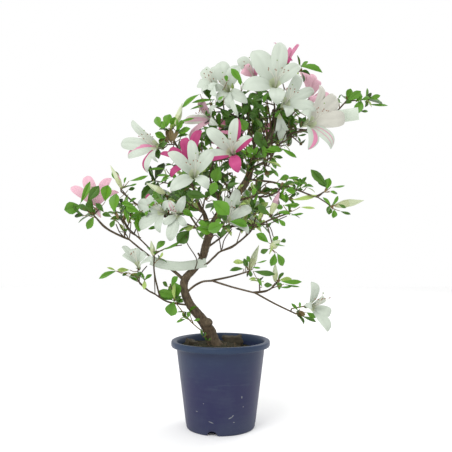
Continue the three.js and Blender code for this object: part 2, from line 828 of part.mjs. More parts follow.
// True where a piece lies closer than the clearance to a solid that is already in place.
function touches(piece, neighbours) {
  const box = piece.boundingBox();
  return neighbours.some((other) => !boxesApart(box, other.box)
    && piece.minGap(other.solid, clearance) < clearance);
}

// Seeded tufts inside an ellipsoid, with leaves on all sides.
function seededTufts({ middle, spread, tufts, leaf }, random) {
  const grown = [];
  for (let i = 0; i < tufts; i += 1) {
    const height = 1 - 2 * (i + 0.5) / tufts;
    const angle = i * goldenTurn + random();
    const ring = Math.sqrt(1 - height * height);
    const depth = mix(0.55, 1, random());
    const bearings = seededBearings.map((bearing) => bearing + random() * seededBearingSpread);
    grown.push([
      middle[0] + spread[0] * ring * Math.cos(angle) * depth,
      middle[1] + spread[1] * ring * Math.sin(angle) * depth,
      middle[2] + spread[2] * height * depth,
      leaf,
      ...bearings,
    ]);
  }
  return grown;
}

function boxed(solid) {
  return { solid, box: solid.boundingBox() };
}

// The tips that a mass grows to: seeded and named tufts, buds and blooms, nearest its foot first.
function tipsOf(spec, start, random) {
  const tufts = [...(spec.tufts ?? []), ...(spec.fill ? seededTufts(spec.fill, random) : [])];
  const tips = tufts.map((tuft) => ({ foot: vector(tuft), tuft }));
  for (const [foot, tip, radius] of spec.buds ?? []) {
    tips.push({ foot: vector(foot), flower: budSolid(vector(foot), vector(tip), radius) });
  }
  for (const bloom of spec.blooms ?? []) tips.push(bloomTip(bloom, random));
  return tips.sort((first, second) => first.foot.distanceTo(start) - second.foot.distanceTo(start));
}

// One mass of foliage, grown on its stem and fused into one solid. Its twigs and flowers come
// first, and a leaf that would touch a neighbour or another tuft is left out.
function growMass(spec, seed, neighbours) {
  const random = seeded(seed);
  const parent = limbs.get(spec.on);
  const bends = [parent.pointAt(spec.start), ...spec.stem.map(vector)];
  const stem = spineThrough(bends, bends.length * 2);
  const footRadius = Math.max(twigRadius, parent.tipRadius - stemStep);
  const pieces = [seated(taperingTwig(stem, boughSides, footRadius, twigRadius))];
  const places = branchingPlaces(stem);
  const crowded = [];
  const tufts = [];
  for (const tip of tipsOf(spec, bends[0], random)) {
    const from = nearestPlace(tip.foot, places);
    tip.spine = from.spine;
    if (from.at.distanceTo(tip.foot) > shortTwig) {
      tip.spine = twigSpine(from, tip.foot);
      const twig = taperingTwig(tip.spine, twigSides, twigRadius, twigTipRadius);
      if (touches(twig, neighbours)) continue;
      pieces.push(twig);
      places.push(...branchingPlaces(tip.spine));
    }
    if (tip.tuft) tufts.push(tip);
    else if (!touches(tip.flower, neighbours)) {
      pieces.push(tip.flower);
      crowded.push({ ...boxed(tip.flower), foot: tip.foot });
    }
  }
  for (const { tuft, foot, spine } of tufts) {
    const others = crowded.filter((other) => other.foot.distanceTo(foot) > tuftRadius);
    const leaves = tuftLeaves(tuft, spine, random)
      .filter((leaf) => !touches(leaf, neighbours) && !touches(leaf, others));
    pieces.push(...leaves);
    crowded.push(...leaves.map((leaf) => ({ ...boxed(leaf), foot })));
  }
  return whole(wasm.Manifold.union(pieces));
}

function meshOf(name, solid, colour, roughness) {
  const { vertProperties, triVerts } = solid.getMesh();
  const geometry = new THREE.BufferGeometry();
  geometry.setAttribute('position', new THREE.BufferAttribute(new Float32Array(vertProperties), 3));
  geometry.setIndex(Array.from(triVerts));
  geometry.computeVertexNormals();
  const material = new THREE.MeshStandardMaterial({ color: colour, roughness, metalness: 0 });
  const mesh = new THREE.Mesh(geometry, material);
  mesh.name = name;
  return mesh;
}

const group = new THREE.Group();
const inPlace = [];

function place(name, solid, colour, roughness) {
  group.add(meshOf(name, solid, colour, roughness));
  inPlace.push(boxed(solid));
}

place('pot', potSolid(), colours.pot, 0.55);
place('soil', soilSolid(), colours.soil, 0.95);
place('trunk', whole(limbs.get('trunk').solid), colours.bark, 0.9);
for (const spec of boughSpecs) {
  growBough(spec);
  place(spec.name, limbs.get(spec.name).solid, colours.bark, 0.9);
}
for (const { name, width, path } of stripSpecs) {
  const spine = spineThrough(path.map(vector), path.length * 2);
  const strip = tube(spine, 4, () => [width / 2, stripThickness / 2], 0, up);
  place(name, strip, colours.strip, 0.7);
}
massSpecs.forEach((spec, index) => {
  place(spec.name, growMass(spec, 101 + index * 17, inPlace), colours.leaf, 0.6);
});

export default group;
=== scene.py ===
# %% [markdown]
# A flowering azalea shrub in its nursery pot, dressed for its portrait.
# The CAD frame holds the pot, the compost, the trunk, the boughs and one solid for each mass of
# foliage. Here each of them is replaced by a finer piece that grows in the same place: bark with
# relief, twigs that branch on by the same seeded rule, leaves in whorls, and blooms whose petals
# are thin closed sheets. Sizes are written in millimetres and turned into metres by one factor.

# %% Load the frame
import math

import bmesh
import bpy
import numpy as np
from mathutils import Euler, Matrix, Vector, noise as mathnoise


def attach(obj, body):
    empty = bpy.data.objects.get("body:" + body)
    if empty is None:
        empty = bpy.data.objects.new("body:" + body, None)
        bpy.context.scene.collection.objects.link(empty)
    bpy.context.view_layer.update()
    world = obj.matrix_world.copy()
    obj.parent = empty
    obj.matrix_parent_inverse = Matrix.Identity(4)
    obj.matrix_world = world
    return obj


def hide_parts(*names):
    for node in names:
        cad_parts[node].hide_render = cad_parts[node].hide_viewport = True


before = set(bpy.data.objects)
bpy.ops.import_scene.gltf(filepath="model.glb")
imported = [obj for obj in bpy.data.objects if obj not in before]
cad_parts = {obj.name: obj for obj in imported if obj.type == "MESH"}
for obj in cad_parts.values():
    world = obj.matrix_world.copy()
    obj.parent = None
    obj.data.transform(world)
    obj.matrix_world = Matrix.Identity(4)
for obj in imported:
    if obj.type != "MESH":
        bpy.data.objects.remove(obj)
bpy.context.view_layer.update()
mm = 0.001

# %% [markdown]
# The photograph is taken from the front, a little above the middle of the plant, with a lens
# that is slightly long. The camera stands where the pot's ellipses and sides say it stood. It
# comes first, so that every later piece can be judged through it.

# %% Camera
camera_place = (0.0082, -0.905, 0.274)
camera_pitch = 1.85
camera_lens = 47.0
sensor_width = 36.0


def in_scene(name, data):
    """A new object in the scene that carries this data."""
    made = bpy.data.objects.new(name, data)
    bpy.context.scene.collection.objects.link(made)
    return made


def add_camera():
    data = bpy.data.cameras.new("portrait_camera")
    data.lens = camera_lens
    data.sensor_width = sensor_width
    data.clip_start = 0.01
    camera = in_scene("portrait_camera", data)
    camera.location = camera_place
    camera.rotation_euler = (math.radians(90 + camera_pitch), 0, 0)
    bpy.context.scene.camera = camera


add_camera()
print("camera", camera_lens, "mm lens at", camera_place)

# %% [markdown]
# The portrait is 452 points wide. A place in it is given by how far it lies across and down, and
# what can be told apart there is set where it shows. One helper turns such a point into a real
# place, once its depth is known, and another turns real places into points.

# %% Places in the portrait
portrait_width = 452
focal = portrait_width * camera_lens / sensor_width


def in_view(across, down, depth):
    """The place that the portrait shows at this point of it, in millimetres, at a depth of Y."""
    pitch = math.radians(camera_pitch)
    right = (across - portrait_width / 2) / focal
    rise = (portrait_width / 2 - down) / focal
    ahead = math.cos(pitch) - rise * math.sin(pitch)
    climb = math.sin(pitch) + rise * math.cos(pitch)
    eye = np.array(camera_place) / mm
    reach = (depth - eye[1]) / ahead
    return np.array([eye[0] + right * reach, depth, eye[2] + climb * reach])


def portrait_points(places):
    """Where places in millimetres show in the portrait, as rows of across and down."""
    pitch = math.radians(camera_pitch)
    x, y, z = (np.asarray(places) - np.array(camera_place) / mm).T
    ahead = y * math.cos(pitch) + z * math.sin(pitch)
    rise = z * math.cos(pitch) - y * math.sin(pitch)
    return portrait_width / 2 + np.stack([focal * x / ahead, -focal * rise / ahead], axis=1)


print("one point is", round(-camera_place[1] / focal / mm, 2), "mm at the trunk")

# %% [markdown]
# Every finish here is a small tree of shader nodes, and two helpers keep such trees readable. The
# first wraps the output of a node, so that sums and products of values are written as plain
# Python and turn into Math nodes.

# %% Wires


class Wire:
    """A node's output that can be added, multiplied and so on, with numbers or other wires."""

    def __init__(self, tree, socket):
        self.tree = tree
        self.socket = socket

    def math(self, operation, first, second=0.0):
        node = self.tree.nodes.new("ShaderNodeMath")
        node.operation = operation
        for socket, value in zip(node.inputs, (first, second)):
            if isinstance(value, Wire):
                self.tree.links.new(value.socket, socket)
            else:
                socket.default_value = value
        return Wire(self.tree, node.outputs[0])

    def __add__(self, other):
        return self.math("ADD", self, other)

    def __sub__(self, other):
        return self.math("SUBTRACT", self, other)

    def __rsub__(self, other):
        return self.math("SUBTRACT", other, self)

    def __mul__(self, other):
        return self.math("MULTIPLY", self, other)

    def __truediv__(self, other):
        return self.math("DIVIDE", self, other)

    def held(self):
        """The same value, held between 0 and 1."""
        low = self.math("MAXIMUM", self, 0.0)
        return self.math("MINIMUM", low, 1.0)


print("helper ready:", Wire.__name__)

# %% [markdown]
# The second helper makes any other node from its type, its settings and its sockets. Colours go
# through Mix nodes, because a Math node would turn them grey, and vectors have nodes of their own.

# %% Trees


class Tree:
    """Adds nodes to a shader tree or a geometry tree."""

    def __init__(self, tree):
        self.tree = tree

    def node(self, kind, settings=None, values=None):
        """A node of this type. Its settings come first, then the values or links of its sockets."""
        made = self.tree.nodes.new(kind)
        for name, value in (settings or {}).items():
            if name == "stops":
                self.set_stops(made.color_ramp, value)
            else:
                setattr(made, name, value)
        for name, value in (values or {}).items():
            socket = made.inputs[name]
            if isinstance(value, Wire):
                self.tree.links.new(value.socket, socket)
            else:
                socket.default_value = value
        return made

    def wire(self, kind, settings=None, values=None, output=0):
        """The same, given back as the wire of one output."""
        made = self.node(kind, settings, values)
        return Wire(self.tree, made.outputs[output])

    def set_stops(self, ramp, stops):
        while len(ramp.elements) < len(stops):
            ramp.elements.new(0.5)
        for element, (place, colour) in zip(ramp.elements, stops):
            element.position = place
            element.color = (*colour, 1.0)

    def blended(self, share, first, second):
        """A colour between two, each a colour or a wire."""
        values = {0: share}
        for key, colour in ((6, first), (7, second)):
            values[key] = colour if isinstance(colour, Wire) else (*colour, 1.0)
        return self.wire("ShaderNodeMix", {"data_type": "RGBA"}, values, 2)

    def scaled(self, vector, scale):
        """A vector made longer or shorter."""
        return self.wire("ShaderNodeVectorMath", {"operation": "SCALE"},
                         {"Vector": vector, "Scale": scale})

    def summed(self, first, second):
        """Two vectors added up."""
        return self.wire("ShaderNodeVectorMath", {"operation": "ADD"}, {0: first, 1: second})


print("helper ready:", Tree.__name__)

# %% [markdown]
# A colour is given as it looks on a screen, and this turns it into the light that the shader
# works with. A finish is one Principled shader: numbers that are the same all over are set on
# its own sockets, and only base colour, roughness and a bump are fed by a pattern.

# %% A finish from a pattern
bump_strength = 0.6


def seen(red, green, blue):
    """The linear colour of a screen colour, each part from 0 to 255."""
    parts = [part / 255 for part in (red, green, blue)]
    return tuple(p / 12.92 if p <= 0.04045 else ((p + 0.055) / 1.055) ** 2.4 for p in parts)


def finish(name, pattern, **constants):
    """A material whose pattern(tree, place) gives the values of the shader's varying sockets."""
    material = bpy.data.materials.new(name)
    material.use_nodes = True
    tree = Tree(material.node_tree)
    shader = material.node_tree.nodes["Principled BSDF"]
    for socket, value in constants.items():
        shader.inputs[socket.replace("_", " ")].default_value = value
    place = tree.wire("ShaderNodeTexCoord", output=3)
    for socket, wire in pattern(tree, place).items():
        material.node_tree.links.new(wire.socket, shader.inputs[socket])
    return material


def speckle(tree, place, scale, detail=3.0, roughness=0.5):
    """Soft noise from 0 to 1 whose features are 1/scale metres across."""
    values = {"Vector": place, "Scale": scale, "Detail": detail, "Roughness": roughness}
    return tree.wire("ShaderNodeTexNoise", None, values)


def stretched(tree, place, scales):
    """The place with each axis scaled by its own factor, so that a pattern runs one way."""
    return tree.wire("ShaderNodeMapping", None, {"Vector": place, "Scale": scales})


def bumped(tree, height, depth):
    """A bump of this real depth, in metres, from a height between 0 and 1."""
    return tree.wire("ShaderNodeBump", None,
                     {"Height": height, "Distance": depth, "Strength": bump_strength})


print("black", seen(0, 0, 0), "mid grey", [round(part, 3) for part in seen(128, 128, 128)])

# %% [markdown]
# Living leaves are never one green. A soft noise moves each leaf between two neighbouring greens,
# and a faint bump breaks the gloss. The four kinds are the young, bright, deep and old leaves that
# stand side by side on the plant. A pattern's size is how many of its features fit in a metre.

# %% Leaf finishes
leaf_patches = 55.0
leaf_cells = 900.0
leaf_grain = 0.0002


def leaf_finish(name, light, dark, roughness):
    def pattern(tree, place):
        patches = speckle(tree, place, leaf_patches)
        cells = speckle(tree, place, leaf_cells, 2.0)
        share = (patches * 1.6 - 0.3).held()
        return {
            "Base Color": tree.blended(share, light, dark),
            "Roughness": cells * 0.16 + (roughness - 0.08),
            "Normal": bumped(tree, cells, leaf_grain),
        }
    return finish(name, pattern, Specular_IOR_Level=0.36)


leaf_finishes = {
    "young": leaf_finish("young_leaf", seen(170, 190, 112), seen(138, 166, 80), 0.44),
    "bright": leaf_finish("bright_leaf", seen(94, 143, 33), seen(69, 119, 20), 0.42),
    "deep": leaf_finish("deep_leaf", seen(76, 114, 32), seen(52, 90, 22), 0.40),
    "old": leaf_finish("old_leaf", seen(66, 86, 40), seen(46, 66, 32), 0.46),
}
print("leaf finishes", list(leaf_finishes))

# %% [markdown]
# The petals are white with a breath of green, like wet paper. Some carry rose or magenta, as
# stripes, halves or whole petals: that is how such striped blooms are, and the places are dealt
# petal by petal, never painted by a picture. Fine noise stands for the crinkled skin of a petal.

# %% Petal finishes
petal_crinkle = 700.0
petal_shade = 60.0
crinkle_depth = 0.0002


def petal_finish(name, light, dark, roughness=0.5):
    def pattern(tree, place):
        crinkle = speckle(tree, place, petal_crinkle, 3.0)
        shade = speckle(tree, place, petal_shade, 2.0)
        return {
            "Base Color": tree.blended(shade, light, dark),
            "Normal": bumped(tree, crinkle, crinkle_depth),
        }
    return finish(name, pattern, Roughness=roughness, Specular_IOR_Level=0.25)


petal_finishes = {
    "white": petal_finish("white_petal", seen(191, 200, 188), seen(177, 186, 172)),
    "throat": petal_finish("throat_petal", seen(194, 202, 174), seen(184, 194, 156)),
    "cream": petal_finish("cream_petal", seen(184, 190, 150), seen(168, 178, 130)),
    "blush": petal_finish("blush_petal", seen(194, 194, 183), seen(184, 182, 172)),
    "shell": petal_finish("shell_petal", seen(220, 180, 192), seen(206, 156, 172)),
    "lilac": petal_finish("lilac_petal", seen(196, 158, 170), seen(184, 144, 158)),
    "dusk": petal_finish("dusk_petal", seen(172, 142, 150), seen(152, 118, 130)),
    "rose": petal_finish("rose_petal", seen(206, 136, 164), seen(194, 116, 148)),
    "pink": petal_finish("pink_petal", seen(186, 76, 128), seen(170, 58, 110)),
    "magenta": petal_finish("magenta_petal", seen(174, 66, 116), seen(154, 50, 98)),
}
print("petal finishes", list(petal_finishes))

# %% [markdown]
# The small parts of a bloom: pale filaments, brown pollen sacs, a green pistil's head, the green
# cup that holds the bloom and the brown scales that once closed the bud.

# %% Small finishes


def plain_finish(name, light, dark, scale, roughness=0.6, depth=0.0002):
    """Two near colours and a bump, both from one noise."""
    def pattern(tree, place):
        noise = speckle(tree, place, scale)
        return {
            "Base Color": tree.blended(noise, light, dark),
            "Normal": bumped(tree, noise, depth),
        }
    return finish(name, pattern, Roughness=roughness)


filament_finish = plain_finish("filament", seen(206, 212, 196), seen(194, 186, 176), 300.0)
anther_finish = plain_finish("anther", seen(150, 96, 58), seen(104, 62, 40), 900.0)
pistil_finish = plain_finish("pistil", seen(120, 150, 60), seen(84, 120, 44), 600.0)
calyx_finish = plain_finish("calyx", seen(112, 142, 62), seen(86, 112, 46), 400.0)
scale_finish = plain_finish("bud_scale", seen(118, 96, 52), seen(82, 74, 38), 350.0)
print("small finishes", filament_finish.name, anther_finish.name, scale_finish.name)

# %% [markdown]
# Bark is grey-brown and cracked along the limb. Its real relief is modelled further on, so the
# finish only adds colour in the cracks, the pale crust on the ridges and a fine grain. Twigs are
# the same bark, younger: redder and smoother.

# %% Bark finishes


def bark_finish(name, light, middle, dark, grain):
    def pattern(tree, place):
        run = stretched(tree, place, (1.0, 1.0, 0.35))
        cracks = speckle(tree, run, grain, 5.0, 0.62)
        patches = speckle(tree, place, grain * 0.14, 2.0)
        worn = tree.blended((patches * 2.2 - 0.7).held(), middle, light)
        return {
            "Base Color": tree.blended((1.55 - cracks * 2.3).held(), worn, dark),
            "Roughness": cracks * 0.2 + 0.7,
            "Normal": bumped(tree, cracks, 0.0007),
        }
    return finish(name, pattern, Specular_IOR_Level=0.3)


bark = bark_finish("bark", seen(120, 106, 84), seen(90, 74, 56), seen(40, 32, 24), 420.0)
twig_bark = bark_finish("twig_bark", seen(100, 88, 66), seen(78, 64, 46), seen(50, 40, 28), 700.0)
shoot_bark = bark_finish("shoot_bark", seen(136, 128, 72), seen(124, 98, 60), seen(96, 70, 48), 900.0)
print("bark finishes", bark.name, twig_bark.name, shoot_bark.name)

# %% [markdown]
# The rule by which the plant grows is the one that shaped its solids, written again. It starts
# from even random numbers out of one seed, so that the same plant grows each time.

# %% Seeded numbers
mask = 0xFFFFFFFF
seed_step = 0x6D2B79F5
seed_span = 4294967296


def product(first, second):
    return (first * second) & mask


def seeded(seed):
    """Even random numbers from 0 to 1 out of one seed."""
    state = seed & mask

    def following():
        nonlocal state
        state = (state + seed_step) & mask
        mixed = product(state ^ (state >> 15), 1 | state)
        mixed = ((mixed + product(mixed ^ (mixed >> 7), 61 | mixed)) & mask) ^ mixed
        return ((mixed ^ (mixed >> 14)) & mask) / seed_span

    return following


draw = seeded(101)
print("first numbers of a seed", [round(draw(), 4) for _ in range(3)])

# %% [markdown]
# Limbs are smooth curves through a few bends. The spline is the centripetal one, which makes no
# loops where bends lie close together. A limb's points are measured along it, because twigs spring
# from them.

# %% Curves
least_length = 1e-9


def mix(start, end, share):
    return start + (end - start) * share


def unit(vector):
    return vector / max(np.linalg.norm(vector), least_length)


def smooth_curve(bends, rings):
    """Points on a smooth curve through the bends: rings + 1 of them, evenly dealt."""
    points = [np.array(bend, float) for bend in bends]
    points = [points[0] * 2 - points[1], *points, points[-1] * 2 - points[-2]]
    spans = len(points) - 3
    curve = []
    for step in range(rings + 1):
        place = step / rings * spans
        index = min(int(place), spans - 1)
        curve.append(curve_point(points[index:index + 4], place - index))
    return np.array(curve)


def curve_point(corners, share):
    """A point between the middle two of four corners, on a centripetal spline."""
    first, start, end, last = corners
    gaps = [math.sqrt(np.linalg.norm(b - a)) for a, b in zip(corners, corners[1:])]
    lead, span, tail = gaps
    leaving = (start - first) / lead - (end - first) / (lead + span) + (end - start) / span
    arriving = (end - start) / span - (last - start) / (span + tail) + (last - end) / tail
    leaving, arriving = leaving * span, arriving * span
    square, cube = share ** 2, share ** 3
    return (start * (1 - 3 * square + 2 * cube) + end * (3 * square - 2 * cube)
            + leaving * (share - 2 * square + cube) + arriving * (cube - square))


def spine_length(spine):
    return float(np.linalg.norm(np.diff(spine, axis=0), axis=1).sum())


def spine_place(spine, distance):
    """The point at a distance along a spine, and the spine's direction there."""
    left = max(0.0, distance)
    index = 1
    while index < len(spine) - 1 and left > np.linalg.norm(spine[index] - spine[index - 1]):
        left -= np.linalg.norm(spine[index] - spine[index - 1])
        index += 1
    along = spine[index] - spine[index - 1]
    share = min(1.0, left / np.linalg.norm(along))
    return spine[index - 1] + along * share, unit(along)


print("half way along a bend", smooth_curve([(0, 0, 0), (10, 0, 5), (20, 0, 0)], 4)[2])

# %% [markdown]
# The tables of the plant are the ones that shaped its solids, in millimetres, so what grows here
# stays on the limbs and within the reach of the solids. First come the trunk's stations, with its
# radius at each, and the knob low down on its right side, where a limb was once cut off. Above the
# lowest four stations, the trunk goes up nearly without taper.

# %% Stations of the trunk
trunk_stations = [
  dict(at=[-1.5, 8, 110], radius=11.5),
  dict(at=[-10.5, 8, 124], radius=9.8),
  dict(at=[-20, 6, 147], radius=9),
  dict(at=[-34, 3, 167], radius=7.2),
  dict(at=[-46, 0, 182], radius=6.5),
  dict(at=[-55, -2, 204], radius=6),
  dict(at=[-55, 0, 220], radius=6),
  dict(at=[-42, 4, 236], radius=5.5),
  dict(at=[-29, 6, 252], radius=5.7),
  dict(at=[-23, 2, 272], radius=6.2),
  dict(at=[-12, 0, 305], radius=6),
  dict(at=[7, 4, 333], radius=6),
  dict(at=[27, 6, 355], radius=6),
  dict(at=[42, 8, 377], radius=5.8),
  dict(at=[47, 10, 397], radius=5),
  dict(at=[51, 12, 411], radius=4.6),
]
knob = dict(height=152, to=[-15.5, 0, 158.5], radii=[8.5, 8.5, 7.5, 4.5])
print("trunk stations:", len(trunk_stations))

# %% [markdown]
# A bough starts on the trunk at a height, or on another bough at a share of its length, and runs
# through its bends. Its two radii are those of its foot and its tip.

# %% Boughs
bough_table = [
  dict(name="left_bough", on="trunk", start=219, radii=[3.2, 2.2],
    bends=[[-73, 2, 235], [-105, 0, 254]]),
  dict(name="left_outer_bough", on="left_bough", start=1, radii=[1.8, 1.5],
    bends=[[-122, -5, 268], [-138, -10, 282]]),
  dict(name="left_back_bough", on="left_bough", start=0.93, radii=[1.6, 1.3],
    bends=[[-108, 6, 266], [-128, 10, 286]]),
  dict(name="low_left_bough", on="trunk", start=182, radii=[1.8, 1.4],
    bends=[[-80, -15, 189], [-97, -25, 201]]),
  dict(name="low_right_bough", on="trunk", start=200, radii=[2.1, 1.8],
    bends=[[-40, -5, 212], [-26, -10, 219], [-12, -12, 220]]),
  dict(name="low_right_outer_bough", on="low_right_bough", start=1, radii=[1.8, 1.5],
    bends=[[16, -25, 212], [51, -40, 204]]),
  dict(name="right_low_bough", on="trunk", start=240, radii=[2.1, 1.4],
    bends=[[-23, 6, 244], [-1, -10, 264], [16, -18, 270], [33, -25, 283]]),
  dict(name="lower_inner_bough", on="trunk", start=302, radii=[2.2, 1.5],
    bends=[[15, -22, 302], [44, -36, 303], [60, -41, 305]]),
  dict(name="left_mid_bough", on="trunk", start=291, radii=[2.4, 1.7],
    bends=[[-45, -10, 303], [-78, -15, 316]]),
  dict(name="upper_left_bough", on="trunk", start=299, radii=[3, 1.9],
    bends=[[-27, 5, 323], [-38, 10, 350], [-51, 5, 387]]),
  dict(name="front_bough", on="trunk", start=284, radii=[1.9, 1.5],
    bends=[[-25, -14, 297], [-24, -26, 312]]),
  dict(name="centre_bough", on="trunk", start=312, radii=[2.6, 1.8],
    bends=[[-5, 6, 328], [-4, 2, 348], [-12, -8, 362]]),
  dict(name="right_bough", on="trunk", start=376, radii=[2.2, 1.5],
    bends=[[85, 20, 372], [121, 32, 362]]),
  dict(name="inner_right_bough", on="trunk", start=338, radii=[2, 1.5],
    bends=[[44, -15, 346], [68, -28, 346]]),
  dict(name="upper_right_bough", on="trunk", start=402, radii=[2.2, 1.6],
    bends=[[80, 10, 419], [108, 10, 447], [133, 8, 453]]),
  dict(name="left_leader", on="trunk", start=408, radii=[2.6, 1.9],
    bends=[[52, 9, 428], [46, 8, 447]]),
  dict(name="right_leader", on="trunk", start=411, radii=[3.2, 2],
    bends=[[65, 15, 425], [74, 15, 442], [80, 13, 464]]),
  dict(name="crown_right_bough", on="right_leader", start=0.4, radii=[1.7, 1.4],
    bends=[[84, 24, 436], [98, 24, 446]]),
  dict(name="back_left_bough", on="trunk", start=287, radii=[2.2, 1.6],
    bends=[[-38, 30, 305], [-58, 52, 335]]),
  dict(name="back_middle_bough", on="trunk", start=345, radii=[2.3, 1.6],
    bends=[[8, 38, 372], [-10, 60, 398]]),
  dict(name="back_right_bough", on="trunk", start=388, radii=[2.2, 1.6],
    bends=[[62, 42, 402], [84, 62, 420]]),
  dict(name="back_low_bough", on="trunk", start=268, radii=[2, 1.5],
    bends=[[0, 30, 286], [22, 48, 308]]),
]
print("boughs in the table:", len(bough_table))

# %% [markdown]
# A mass of foliage grows from one stem on its bough. A tuft is its foot, the length of its leaves
# and their bearings in the front view, in degrees, with 90 straight up. A bud is its foot, its tip
# and its radius. A bloom is its throat, its radius and the direction that it faces, and its look
# is named beside it. The masses at the back, which the portrait hides, have a space to fill.

